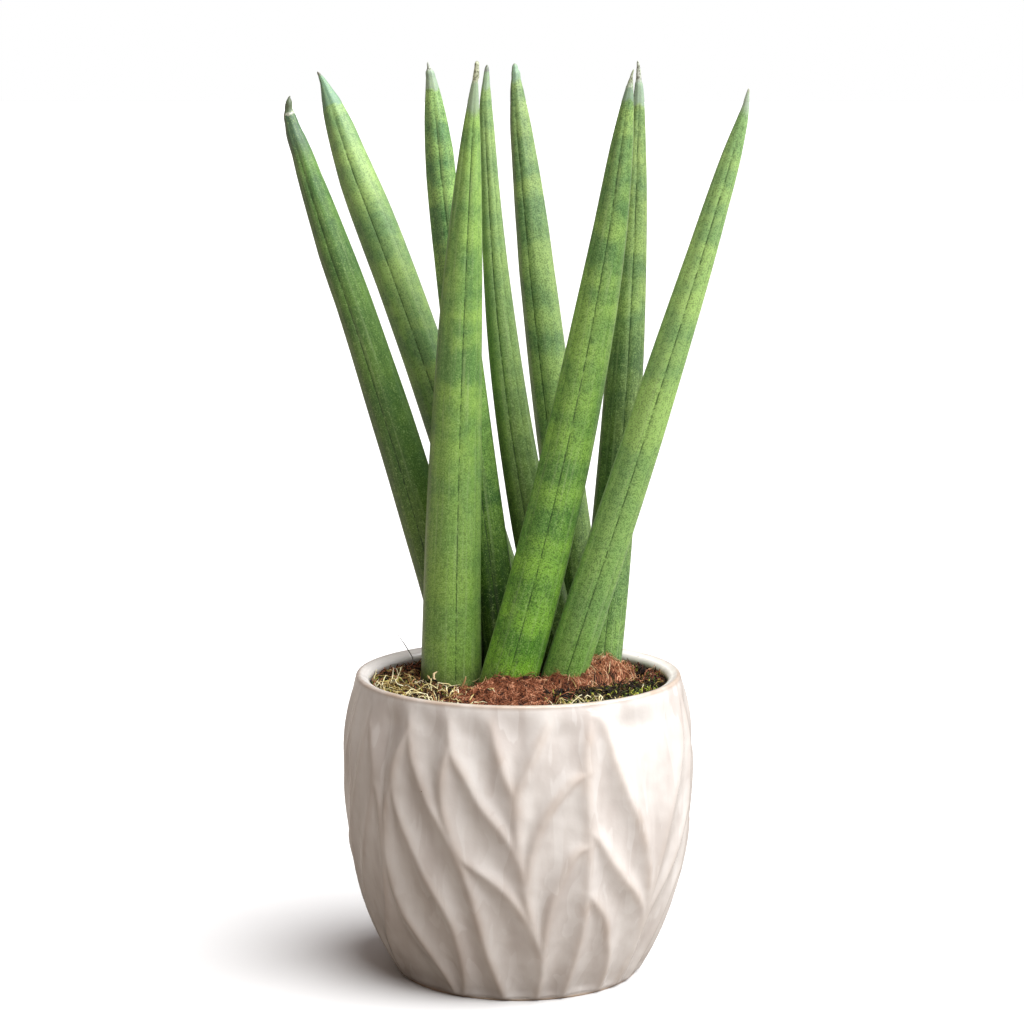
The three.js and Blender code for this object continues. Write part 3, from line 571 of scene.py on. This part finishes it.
def make_pot():
    """The pot's turned body, with the relief sunk into its wall between the crests."""
    outer_corner = POT_HEIGHT - LIP_OUTER
    outer_top = float(wall_radius(outer_corner)) - LIP_OUTER
    inner_corner = POT_HEIGHT - LIP_DROP - LIP_INNER
    inner_top = float(inner_radius(inner_corner)) + LIP_INNER
    profile = [(0, 0), (FOOT_RADIUS * 0.5, 0), (FOOT_RADIUS - FOOT_ROUND, 0)]
    profile += [
        (FOOT_RADIUS - FOOT_ROUND * (1 - math.sin(a)), FOOT_ROUND * (1 - math.cos(a)))
        for a in np.radians((30, 60))
    ]
    profile += [(float(wall_radius(h)), h) for h in np.linspace(FOOT_ROUND, outer_corner, 150)]
    turns = np.radians(np.linspace(0, 90, 7))
    profile += [(outer_top + LIP_OUTER * math.cos(a), outer_corner + LIP_OUTER * math.sin(a)) for a in turns[1:]]
    profile += [(outer_top - LIP_FLAT, POT_HEIGHT)]
    profile += [(inner_top - LIP_INNER * math.cos(a), inner_corner + LIP_INNER * math.sin(a)) for a in turns[::-1]]
    profile += [(float(inner_radius(h)), h) for h in (112, 110, 108, 105, *INSIDE_ROWS[::-1])]
    profile += [(float(inner_radius(FLOOR)) - FLOOR_CORNER, FLOOR), (0, FLOOR)]
    pot = turned("pot_body", profile, steps=480)

    points = coordinates(pot)
    x, y, z = points.T
    radius = np.hypot(x, y)
    bearing = np.degrees(np.arctan2(x, -y))
    outside = (radius > inner_radius(z) + WALL / 2) & (z < outer_corner + 0.01) & (z > FOOT_ROUND / 3)
    crest = crest_nearness(bearing, z)
    present = (1 - smoothstep(*LIP_FADE, z)) * lerp(FOOT_SHARE, 1, smoothstep(0, FOOT_FADE, z))
    turned_away = np.abs(bearing)
    drowned = smoothstep(*DROWNED_FROM, turned_away) * (1 - smoothstep(*DROWNED_TO, turned_away))
    present = present * (1 - DROWNED_SHARE * drowned)
    depth = np.where(outside, RELIEF_DEPTH * (1 - crest) * present, 0)
    scale = np.where(radius > 0, (radius - depth) / np.maximum(radius, 1e-6), 1)
    points[:, 0] *= scale
    points[:, 1] *= scale
    place(pot, points)
    lip = WORN_LIP * smoothstep(outer_corner - 0.4, outer_corner + 0.6, z) * (radius > outer_top - LIP_FLAT)
    crests = np.where(outside, WORN_CRESTS * smoothstep(0.62, 1, crest) * present, 0)
    # The inside's mask whitens the glaze there: partly pooled glaze, partly painted light on the shaded inner wall.
    attribute(pot, "inside", smoothstep(outer_top, outer_top - 1, radius) * ~outside * (z > FLOOR - 1))
    attribute(pot, "thin_glaze", np.maximum(crests, lip))
    attribute(pot, "bare", 1 - smoothstep(0.2, 1.0, z))
    return finished(pot, glazed_stoneware(), "glazed_stoneware", "pot")


# ---- Leaves ----


def leaf_centre(leaf, t):
    """Points on a leaf's middle line at these shares of its length, and their directions."""
    start = np.array((*leaf["foot"], LEAF_SOIL_HEIGHT), float)
    end = np.array(leaf["tip"], float)
    middle = (start + end) / 2 + (2 * leaf["bow"], 0, 0)
    t = np.asarray(t, float)[:, None]
    at = (1 - t) ** 2 * start + 2 * t * (1 - t) * middle + t * t * end
    along = 2 * (1 - t) * (middle - start) + 2 * t * (end - middle)
    return at, along / np.linalg.norm(along, axis=1, keepdims=True)


def leaf_length(leaf):
    at, _ = leaf_centre(leaf, np.linspace(0, 1, 65))
    return float(np.linalg.norm(np.diff(at, axis=0), axis=1).sum())


def leaf_radius(leaf, below_tip):
    return leaf["diameter"] / 2 * below_tip / (below_tip + leaf["taper"])


def leaf_blank():
    """A straight tube of radius 1 and length 1 from soil to tip, with its root, which every leaf is shaped
    from. Its rows lie closer together towards the tip."""
    root = np.linspace(-ROOT_SPAN, 0, ROOT_ROWS)[:-1]
    rows = np.concatenate((root, 1 - (1 - np.linspace(0, 1, BLANK_ROWS)) ** 1.25))
    profile = [(0, rows[0])] + [(1, h) for h in rows[:-1]] + [(0, rows[-1])]
    return turned("leaf_blank", profile, steps=GROOVES * COLUMNS_PER_GROOVE)


def leaf_greens(leaf, t, below_tip, dry):
    """The greens of the leaf's light and dark bands at every point, with its foot, cap and dry point."""
    low, high, cap_green, brown = (np.array(colour(leaf[k])[:3]) for k in ("low", "high", "cap_green", "dry_brown"))
    green = lerp(low, high, np.clip(t, 0, 1)[:, None] ** 0.85)
    # Just above the soil it is browned.
    green = lerp(green, np.array(colour("#66644A")[:3]), 0.6 * (1 - smoothstep(0, 0.06, t))[:, None])
    # Painted shade: the listed tones darken the lower parts of some leaves where others shade them, and lighten or
    # darken other stretches.
    if "shade_and_tones" in leaf:
        green = green * np.interp(below_tip, *np.transpose(leaf["shade_and_tones"]))[:, None]
    edge = leaf["cap_edge"]
    cap = (1 - smoothstep(leaf["cap"] - edge / 2, leaf["cap"] + edge / 2, below_tip))[:, None]
    banded = leaf["bands"] * lerp(leaf.get("calm", 1), 1, smoothstep(0.25, 0.5, t))[:, None]
    live = lerp(banded, 0.25, cap) * (1 - dry[:, None])
    flecked = lerp(leaf["bands"], 0.25, cap[:, 0]) * (1 - dry)
    base = lerp(lerp(green, cap_green, 0.95 * cap), brown, dry[:, None])
    light = base * (1 + np.array(LIGHT_BAND) * live)
    dark = base * (1 - np.array(DARK_BAND) * live)
    return light, dark, flecked


def make_leaf(blank, index, leaf, material):
    """One leaf, shaped from the blank along its own curve, with its grooves, its dry point and its greens."""
    piece = blank.copy()
    piece.data = blank.data.copy()
    piece.name = piece.data.name = f"leaf_blade_{index}"
    bpy.context.collection.objects.link(piece)

    x, y, t = coordinates(piece).T
    rim = np.clip(np.hypot(x, y), 0, 1)
    # The blank's columns are turned so that one runs along each groove.
    start = math.radians(leaf["groove"])
    turn = np.arctan2(x, -y) + start
    length = leaf_length(leaf)
    mix = np.random.default_rng(100 + index)
    blade = np.clip(t, 0, 1)
    at, along = leaf_centre(leaf, blade)
    below_tip = length * (1 - blade)
    radius = leaf_radius(leaf, below_tip)

    # The root goes straight down in its hole, thinning as it goes.
    sunk = np.clip(-t / ROOT_SPAN, 0, 1)
    at[:, 2] -= sunk * ROOT_DEPTH
    radius = radius * lerp(1, ROOT_SHARE, smoothstep(0.3, 1, sunk))

    # The dry point: thinner than the live leaf, a little knotted, and leaning.
    dry = 1 - smoothstep(leaf["dry"] * 0.85, leaf["dry"] * 1.05 + 0.3, below_tip)
    knots = 1 + 0.12 * dry * np.sin(below_tip * 2.1 + index) * np.cos(2 * turn)
    radius = radius * lerp(1, leaf["thin"], dry) * knots
    collar = np.exp(-(((below_tip - leaf["dry"] * 1.1 - 0.2) / 0.5) ** 2))
    radius = radius * (1 + 0.1 * collar * leaf["ring"])
    distance, extra, shift = np.transpose(leaf["sides"])
    radius = np.maximum(radius, leaf["blunt"] * np.sqrt(np.clip(below_tip / 1.2, 0, 1)))
    radius = radius + np.interp(below_tip, distance, extra)
    at[:, 0] += np.interp(below_tip, distance, shift)
    pointed = np.clip(1 - below_tip / (leaf["dry"] + POINT_REACH), 0, 1)
    at[:, 0] += pointed**1.6 * leaf["lean"]
    at[:, 2] += pointed * leaf["stands"]

    # Grooves run the length of the leaf, one clear and the others faint, and run out at the tip.
    strengths = mix.uniform(0.05, 0.45, GROOVES)
    strengths[0] = 1
    from_first = ((turn - start) % (2 * math.pi)) / (2 * math.pi) * GROOVES
    nearest = np.round(from_first)
    groove = strengths[nearest.astype(int) % GROOVES] * smoothstep(*GROOVE_FADE, below_tip)
    away = np.abs(from_first - nearest) * 2 * math.pi / GROOVES * radius
    dent = groove * np.exp(-((away / GROOVE_HALF_WIDTH) ** 2))
    flats = 0.2 * np.cos(GROOVES * (turn - start))
    uneven = 0.25 * waves(below_tip, 6 * turn, 60, 40 + index) * smoothstep(0, 60, below_tip)
    radius = np.maximum(0.12, radius - np.minimum(GROOVE_DEPTH, radius / 10) * (0.6 * dent + flats) + 0.4 * uneven)

    right = np.cross((0, 1, 0), along)
    right /= np.linalg.norm(right, axis=1, keepdims=True)
    straight = sunk > 0
    right[straight] = (1, 0, 0)
    back = np.cross(along, right)
    back[straight] = (0, 1, 0)
    reach = (rim * radius)[:, None]
    place(piece, at + right * reach * np.sin(turn)[:, None] - back * reach * np.cos(turn)[:, None])

    # Each leaf's place in the pattern is its own, 200 mm from the next.
    up = LEAF_SOIL_HEIGHT + length * t
    skin = np.stack((radius * np.sin(turn) + 200 * index, radius * np.cos(turn), up), axis=1)
    attribute(piece, "unbent", skin * MM)
    light, dark, flecked = leaf_greens(leaf, t, below_tip + 0.6 * np.sin(3 * turn + index), dry)
    attribute(piece, "light_band", light)
    attribute(piece, "dark_band", dark)
    attribute(piece, "flecks", leaf["flecks"] * np.clip(flecked, 0, 1) * lerp(1.3, 1, smoothstep(0.1, 0.6, t)))
    attribute(piece, "groove", groove * (1 - dry))
    attribute(piece, "groove_away", away)
    attribute(piece, "dry", dry * (leaf["dry"] > 2))
    attribute(piece, "ring", collar * leaf["ring"])
    piece.data.shade_smooth()
    return finished(piece, material, "leaf", f"leaf_{index}")


# ---- Soil and its dressing ----


def soil_height(radius):
    return lerp(SOIL_CROWN, SOIL_EDGE, (radius / inner_radius(np.array(SOIL_EDGE, float))) ** 2)


def all_round(radius):
    """An edge at the same radius at every bearing."""
    return lambda bearing: np.full_like(bearing, radius)


def coir_hump(bearing, key=1):
    """The radius of the coir's hump, or with key 2 its rise, at these bearings."""
    table = np.array(COIR_HUMP, float)
    return np.interp(bearing, table[:, 0], table[:, key])


def coir_outer(bearing):
    """The coir's outer edge: at the wall in front, and near its hump at the right."""
    return lerp(MAT_OUTER, coir_hump(bearing) + COIR_OUTSIDE, smoothstep(*COIR_APRON_ENDS, bearing))


def coir_rise(bearing, radius):
    """How high the coir is heaped, falling off outwards from its hump."""
    hump = coir_hump(bearing)
    outwards = np.clip((radius - hump) / (coir_outer(bearing) - hump), 0, 1)
    return coir_hump(bearing, 2) * lerp(1, COIR_OUTER_SHARE, outwards)


def coir_inner(bearing):
    return coir_hump(bearing) - COIR_INSIDE


def moss_right_inner(bearing):
    return np.minimum(coir_outer(np.minimum(bearing, COIR_TO)) + MOSS_GAP, MAT_OUTER - MOSS_LEAST_WIDTH)


def moss_left_inner(bearing):
    """The left moss's inner edge, which swings out towards the back."""
    return lerp(*MOSS_LEFT_INNER, smoothstep(*MOSS_LEFT_NARROWS, -bearing))


def on_patch(bearing, radius, first, last, inner, outer, edge):
    """1 well inside a patch, down to 0 at its edge."""
    low, high = min(first, last), max(first, last)
    side = np.minimum(bearing - low, high - bearing) * math.pi / 180 * radius
    return smoothstep(0, edge, np.minimum(side, np.minimum(radius - inner(bearing), outer(bearing) - radius)))


def dressing_height(x, y):
    """The height of the top of whatever lies at a place in the pot."""
    radius = np.hypot(x, y)
    bearing = np.degrees(np.arctan2(x, -y))
    past_wall = all_round(MAT_OUTER + 3)
    coir = on_patch(bearing, radius, COIR_FROM, COIR_TO, coir_inner, coir_outer, 3) * coir_rise(bearing, radius)
    right = on_patch(bearing, radius, *MOSS_RIGHT, moss_right_inner, past_wall, 2) * MOSS_THICKNESS
    left = on_patch(bearing, radius, *MOSS_LEFT, moss_left_inner, past_wall, 2) * MOSS_THICKNESS
    left = left * lerp(1, MOSS_BACK_SHARE, smoothstep(*MOSS_THINS_OVER, -bearing))
    rise = np.maximum(coir, np.maximum(left, right))
    tufts = np.where(coir > 0, waves(x, y, 8, 21), 1.5 * waves(x, y, 6, 23)) + 0.7 * waves(x, y, 3, 22)
    return soil_height(radius) + rise + tufts * smoothstep(0, 2.5, rise)


def leaf_feet(height):
    """The middle and the thickness of every leaf at this height, near the soil."""
    feet = []
    for leaf in LEAVES:
        length = leaf_length(leaf)
        t = max(0, height - LEAF_SOIL_HEIGHT) / (leaf["tip"][2] - LEAF_SOIL_HEIGHT)
        at, _ = leaf_centre(leaf, [t])
        feet.append((at[0, 0], at[0, 1], leaf_radius(leaf, length * (1 - t))))
    return feet


def clear_of_leaves(x, y, gap=0.35):
    """Places pushed out of the leaves, and kept inside the pot."""
    for cx, cy, r in leaf_feet(STRAND_HEIGHT):
        away = np.maximum(np.hypot(x - cx, y - cy), 1e-6)
        push = np.maximum(1, (r + gap) / away)
        x, y = cx + (x - cx) * push, cy + (y - cy) * push
    radius = np.hypot(x, y)
    hold = np.minimum(1, (MAT_OUTER - 0.6) / np.maximum(radius, 1e-6))
    return x * hold, y * hold


def make_soil():
    """The potting mix that fills the pot, lumpy on top."""
    radii = np.linspace(float(inner_radius(SOIL_EDGE)) - FIT_GAP, 0, 60)
    corner = float(inner_radius(FLOOR)) - (FLOOR_CORNER + FIT_GAP)
    profile = [(0, FLOOR + FIT_GAP), (corner, FLOOR + FIT_GAP)]
    profile += [(float(inner_radius(h)) - FIT_GAP, h) for h in INSIDE_ROWS]
    profile += [(r, float(soil_height(r))) for r in radii[:-1]] + [(0, SOIL_CROWN)]
    soil = turned("soil_bed", profile, steps=220)
    points = coordinates(soil)
    x, y, z = points.T
    top = z > SOIL_EDGE - 0.5
    lumps = 0.5 * waves(x, y, 9, 3) + 0.35 * waves(x, y, 3.5, 4) + 0.2 * waves(x, y, 1.6, 5)
    points[:, 2] = np.where(top, z + (lumps - 0.5) * smoothstep(60, 57, np.hypot(x, y)), z)
    place(soil, points)
    return finished(soil, earth(), "potting_soil", "soil")


def make_pad(name, first, last, inner, outer, material, slot, node, sink):
    """The body of a mat: a sheet over its patch, thickened 0.6 mm downwards, without the leaves' feet."""
    columns, rows = 200, 44
    bpy.ops.mesh.primitive_grid_add(x_subdivisions=columns, y_subdivisions=rows, size=2 * MM)
    piece = bpy.context.object
    piece.name = piece.data.name = name
    u, v, _ = coordinates(piece).T
    bearing = lerp(first, last, (u + 1) / 2)
    radius = lerp(inner(bearing), outer(bearing), (v + 1) / 2)
    x, y = radius * np.sin(np.radians(bearing)), -radius * np.cos(np.radians(bearing))
    edge = np.minimum(1 - np.abs(u), (1 - np.abs(v)) * 0.5)
    lumps = 0.7 * waves(x, y, 5, 11) + 0.5 * waves(x, y, 2.2, 12)
    top = np.maximum(dressing_height(x, y) - sink + lumps * smoothstep(0, 0.15, edge), soil_height(radius) + 0.8)
    place(piece, np.stack((x, y, top), axis=1))

    mesh = bmesh.new()
    mesh.from_mesh(piece.data)
    # The leaves' feet come up through it.
    feet = leaf_feet(PAD_HEIGHT)
    under_leaves = []
    for face in mesh.faces:
        centre = face.calc_center_median()
        if any(math.hypot(centre.x / MM - cx, centre.y / MM - cy) < r + 0.5 for cx, cy, r in feet):
            under_leaves.append(face)
    bmesh.ops.delete(mesh, geom=under_leaves, context="FACES")
    mesh.normal_update()
    if sum(f.normal.z for f in mesh.faces) < 0:
        bmesh.ops.reverse_faces(mesh, faces=mesh.faces)
    mesh.to_mesh(piece.data)
    mesh.free()
    keep_largest(piece)
    solidify = piece.modifiers.new("thickness", "SOLIDIFY")
    solidify.thickness, solidify.offset = 0.6 * MM, -1
    bpy.ops.object.modifier_apply(modifier=solidify.name)
    piece.data.shade_smooth()
    return finished(piece, material, slot, node)


def keep_largest(piece):
    """Drops the scraps that cutting has left loose."""
    mesh = bmesh.new()
    mesh.from_mesh(piece.data)
    left, islands = set(mesh.verts), []
    while left:
        island, queue = set(), [left.pop()]
        while queue:
            v = queue.pop()
            island.add(v)
            for e in v.link_edges:
                other = e.other_vert(v)
                if other in left:
                    left.discard(other)
                    queue.append(other)
        islands.append(island)
    scraps = [v for island in sorted(islands, key=len)[:-1] for v in island]
    bmesh.ops.delete(mesh, geom=scraps, context="VERTS")
    mesh.to_mesh(piece.data)
    mesh.free()


def scattered(count, first, last, inner, outer):
    """Random places on a patch, evenly spread over its area."""
    bearing = rng.uniform(min(first, last), max(first, last), count * 3)
    low, high = inner(bearing), outer(bearing)
    radius = np.sqrt(lerp(low**2, high**2, rng.uniform(0, 1, count * 3)))
    keep = rng.uniform(0, 1, count * 3) < (high**2 - low**2) / np.max(high**2 - low**2)
    bearing, radius = np.radians(bearing[keep][:count]), radius[keep][:count]
    return radius * np.sin(bearing), -radius * np.cos(bearing)


def lying(x, y, length, lift, curl, points=6, sink=0.3, free=0.15):
    """Paths of strands that wander over the dressing from these places, and rise from it and dip into it. A
    share of them keep a free end. Strands that start close together run roughly the same way."""
    count = len(x)
    steps = np.linspace(0, 1, points)
    heading = 4 * waves(x, y, 14, 31)[:, None] + rng.normal(0, 1.1, (count, 1))
    heading = heading + rng.normal(0, curl, (count, 1)) * steps
    heading = heading + np.cumsum(rng.normal(0, 0.2, (count, points)), axis=1)
    step = rng.uniform(*length, (count, 1)) / (points - 1)
    px = x[:, None] + np.cumsum(np.cos(heading) * step, axis=1)
    py = y[:, None] + np.cumsum(np.sin(heading) * step, axis=1)
    px, py = clear_of_leaves(px, py)
    rise = rng.uniform(*lift, (count, 1))
    roll = 0.5 + 0.5 * np.sin(rng.uniform(0, 2 * math.pi, (count, 1)) + rng.uniform(2, 6, (count, 1)) * steps)
    loose = np.where(rng.uniform(0, 1, (count, 1)) < free, steps**1.5 * rise * 1.5, roll * rise)
    return np.stack((px, py, dressing_height(px, py) + loose - sink), axis=2)


def strands(name, paths, thickness, material, slot):
    """Tapered strands along these paths, as one piece."""
    curve = bpy.data.curves.new(name, "CURVE")
    curve.dimensions = "3D"
    curve.bevel_depth = 0.5 * MM
    curve.bevel_resolution = 0
    curve.use_fill_caps = True
    steps = np.linspace(-1, 1, paths.shape[1])
    taper = 1 - 0.7 * np.abs(steps) ** 3
    for path in paths:
        spline = curve.splines.new("POLY")
        spline.points.add(len(path) - 1)
        spline.points.foreach_set("co", np.column_stack((path * MM, np.ones(len(path)))).ravel())
        spline.points.foreach_set("radius", taper * rng.uniform(*thickness))
    piece = bpy.data.objects.new(name, curve)
    bpy.context.collection.objects.link(piece)
    bpy.context.view_layer.objects.active = piece
    piece.select_set(True)
    bpy.ops.object.convert(target="MESH")
    piece = bpy.context.object
    piece.name = piece.data.name = name
    piece.data.shade_smooth()
    return finished(piece, material, slot)


def layer(name, count, span, inner, outer, length, lift, curl, thickness, material, slot, **how):
    """A layer of loose strands over the patch between two bearings and two radii."""
    at = scattered(count, *span, inner, outer)
    return strands(name, lying(*at, length, lift, curl, **how), thickness, material, slot)


def make_dressing():
    """The coir and the moss on the soil: matted pads, then loose fibres, sprigs and straws in layers on them."""
    # The mats show through the gaps between the loose strands and are painted near black: the fibres' own dark brown
    # deepened by painted shade of the gaps.
    coir_mat_in_shade = fibre("coir mat in painted shade", ((0.3, "#1E0D07"), (0.7, "#5A2E1C")), 0.95)
    moss_mat_in_shade = fibre("moss mat in painted shade", ((0.3, "#0E0A05"), (0.7, "#33260F")), 0.95)
    coir = fibre("coir", ((0.2, "#27120A"), (0.42, "#693820"), (0.64, "#9C5D3D"), (0.86, "#D49C7A")))
    dark_coir = fibre("dark coir", ((0.25, "#1A0C06"), (0.5, "#4A2617"), (0.85, "#9A5E41")))
    pale_coir = fibre("bleached coir", ((0.3, "#8A5434"), (0.6, "#C08A64"), (0.85, "#E2BE98")))
    brown_moss = fibre("brown moss", ((0.25, "#120A04"), (0.5, "#3F2911"), (0.7, "#7C5D31"), (0.9, "#C4A870")))
    dark_moss = fibre("dark moss", ((0.3, "#0A0602"), (0.58, "#261809"), (0.76, "#493515"), (0.92, "#7C5E26")))
    green_moss = fibre("green moss", ((0.25, "#141A07"), (0.55, "#55631F"), (0.82, "#B3B64C")))
    straw = fibre("straw", ((0.12, "#7C5F30"), (0.35, "#B39D5C"), (0.6, "#DBCF9C"), (0.88, "#F0EACD")), 0.5)
    wall, by_wall = all_round(MAT_OUTER), all_round(MAT_OUTER - 12)
    whole_left = dict(span=MOSS_LEFT, inner=moss_left_inner, outer=wall, slot="moss")
    whole_right = dict(span=MOSS_RIGHT, inner=moss_right_inner, outer=wall, slot="moss")
    whole_coir = dict(span=(COIR_FROM, COIR_TO), inner=coir_inner, outer=coir_outer, slot="coir")

    make_pad("coir_pad", COIR_FROM, COIR_TO, coir_inner, coir_outer, coir_mat_in_shade, "coir", "coir_mat", 1.3)
    make_pad("moss_pad_left", *MOSS_LEFT, moss_left_inner, wall, moss_mat_in_shade, "moss", "moss_left", 1.5)
    make_pad("moss_pad_right", *MOSS_RIGHT, moss_right_inner, wall, moss_mat_in_shade, "moss", "moss_right", 1.5)

    for part in (1, 2):
        layer(f"coir_fibres_{part}", 3000, **whole_coir, length=(3, 9), lift=(0.2, 1.3), curl=1.6,
              thickness=(0.18, 0.36), material=coir)
    layer("coir_wisps", 420, **whole_coir, length=(5, 12), lift=(1.0, 3.2), curl=1.6,
          thickness=(0.14, 0.3), material=coir, points=8, free=0.6)
    for side, whole, moss in (("left", whole_left, brown_moss), ("right", whole_right, dark_moss)):
        layer(f"moss_stems_{side}", 1150, **whole, length=(2.5, 8), lift=(0.2, 2.0), curl=2.4,
              thickness=(0.28, 0.62), material=moss)
        layer(f"moss_green_{side}", 383, **whole, length=(1.2, 3.5), lift=(0.4, 1.6), curl=2,
              thickness=(0.4, 0.9), material=green_moss, points=4, free=0.2)
    layer("coir_strays_left", 220, **whole_left, length=(3, 8), lift=(0.5, 2), curl=2, thickness=(0.2, 0.4),
          material=coir)
    layer("coir_tail", 420, (-42, -78), all_round(19), all_round(31), (3, 8), (0.4, 1.8), 1.8, (0.2, 0.38),
          coir, "moss")
    layer("moss_sprigs", 170, (14, 78), by_wall, wall, (1.4, 4), (0.6, 2.0), 2, (0.4, 0.8), green_moss, "moss",
          points=4, free=0.3)
    layer("coir_strays_right", 420, (92, 154), moss_right_inner, wall, (3, 8), (0.5, 2.2), 2, (0.25, 0.5),
          dark_coir, "moss")
    layer("straw_left", 85, (-20, -168), moss_left_inner, wall, (6, 15), (0.8, 2.6), 1.8, (0.3, 0.6),
          straw, "moss", points=10, free=0.3)
    layer("straw_front", 115, (-21, -88), by_wall, wall, (8, 18), (1.6, 3.4), 2, (0.3, 0.58), straw, "moss",
          points=10, free=0.25)
    layer("straw_right", 85, (13, 40), by_wall, wall, (5, 12), (1.2, 2.8), 1.6, (0.3, 0.5), straw, "moss",
          points=9, free=0.25)
    layer("straw_far_right", 16, (46, 150), moss_right_inner, wall, (6, 13), (0.8, 2.8), 1, (0.25, 0.45),
          straw, "moss", points=9, free=0.3)
    layer("straw_on_coir", 14, (62, 104), coir_inner, coir_hump, (5, 10), (1.0, 2.4), 1.6, (0.2, 0.34),
          straw, "coir", points=9, free=0.5)
    layer("coir_bleached", 300, (44, 106), coir_inner, coir_outer, (4, 9), (0.8, 2.6), 1.6, (0.18, 0.34),
          pale_coir, "coir", points=8, free=0.5)
    layer("coir_strays_back", 260, (-96, -150), moss_left_inner, wall, (3, 7), (0.6, 2.2), 2, (0.24, 0.45),
          coir, "moss")

    # Single straws that stand up at the left, and a long grey hair at the back left.
    standing = [
        [(-29.2, -8, 111.6), (-30.8, -8, 113.6), (-32.4, -8, 115.6), (-32.2, -8, 117.4), (-31, -8, 118.2)],
        [(-32.2, -7, 111.8), (-32.9, -7, 113.5), (-33.8, -7, 114.9), (-34.4, -7, 115.9), (-34.7, -7, 116.5)],
        [(-21.9, -19.4, 113.5), (-21.2, -19.6, 115), (-20.5, -19.9, 116.4), (-20, -20.3, 117.9), (-19.8, -20.6, 119)],
    ]
    tan_straw = fibre("tan straw", ((0.2, "#B98D5C"), (0.5, "#D8B583"), (0.85, "#EAD2A6")), 0.5)
    strands("straw_standing", np.array(standing), (0.8, 1.05), tan_straw, "moss")
    hair = [(-41.2, 38, 111.5), (-42.2, 38, 114.7), (-43.4, 38, 116.8), (-45.2, 38, 119.8), (-48, 38, 123.8)]
    grey = fibre("dry root hair", ((0.2, "#6B675E"), (0.8, "#8E897E")))
    strands("hair_back_left", np.array([hair]), (0.4, 0.42), grey, "moss")


# ---- Studio ----


def make_camera():
    """The photograph's view, from a little above and a long way off."""
    data = bpy.data.cameras.new("camera")
    data.lens = LENS
    data.shift_x = SHIFT
    data.clip_end = 100
    camera = bpy.data.objects.new("camera", data)
    bpy.context.collection.objects.link(camera)
    camera.location = CAMERA_PLACE
    camera.rotation_euler = (math.pi / 2 - CAMERA_TILT, 0, 0)
    bpy.context.scene.camera = camera


def make_studio():
    """White paper in a room that is bright at the right, and dim and warm at the left."""
    bpy.ops.mesh.primitive_plane_add(size=40)
    floor = bpy.context.object
    floor.name = "floor"
    # White paper, lit until it is plain white, which throws less light back at the plant than it shows.
    paper, tree, shader = new_material("white paper")
    seen = add(tree, "ShaderNodeLightPath").outputs["Is Camera Ray"]
    tree.links.new(blended(tree, seen, "#8E867E", "#E7E7E7"), shader.inputs["Base Color"])
    shader.inputs["Roughness"].default_value = 0.9
    shader.inputs["Specular IOR Level"].default_value = 0.1
    floor.data.materials.append(paper)
    floor.location.z = -0.02 * MM

    world = bpy.data.worlds.new("studio")
    bpy.context.scene.world = world
    world.use_nodes = True
    tree = world.node_tree
    way = add(tree, "ShaderNodeTexCoord").outputs["Generated"]
    sideways = add(tree, "ShaderNodeSeparateXYZ", {"Vector": way}).outputs["X"]
    rightwards = add(tree, "ShaderNodeMapRange", {"Value": sideways, "From Min": -1, "From Max": 1}).outputs[0]
    glow = add(tree, "ShaderNodeMapRange", {"Value": rightwards, "To Min": 0.07, "To Max": 0.63}).outputs[0]
    seen = add(tree, "ShaderNodeLightPath").outputs["Is Camera Ray"]
    strength = add(tree, "ShaderNodeMix", {"Factor": seen, "A": glow, "B": 1.0}).outputs[0]
    tree.links.new(strength, tree.nodes["Background"].inputs["Strength"])
    warmth = blended(tree, rightwards, "#FFDFC6", "#EAF1FF")
    tree.links.new(blended(tree, seen, warmth, "#FFFFFF"), tree.nodes["Background"].inputs["Color"])

    sun = bpy.data.lights.new("key", "SUN")
    sun.energy = KEY_STRENGTH
    sun.angle = math.radians(KEY_WIDTH)
    key = bpy.data.objects.new("key", sun)
    key.rotation_euler = Vector(KEY_WAY).to_track_quat("-Z", "Y").to_euler()
    bpy.context.collection.objects.link(key)

    view = bpy.context.scene.view_settings
    view.view_transform = "Standard"
    view.exposure = 0


make_camera()
make_studio()
make_pot()
blank_leaf = leaf_blank()
skin_material = leaf_skin()
for number, one_leaf in enumerate(LEAVES, start=1):
    make_leaf(blank_leaf, number, one_leaf, skin_material)
bpy.data.objects.remove(blank_leaf)
make_soil()
make_dressing()
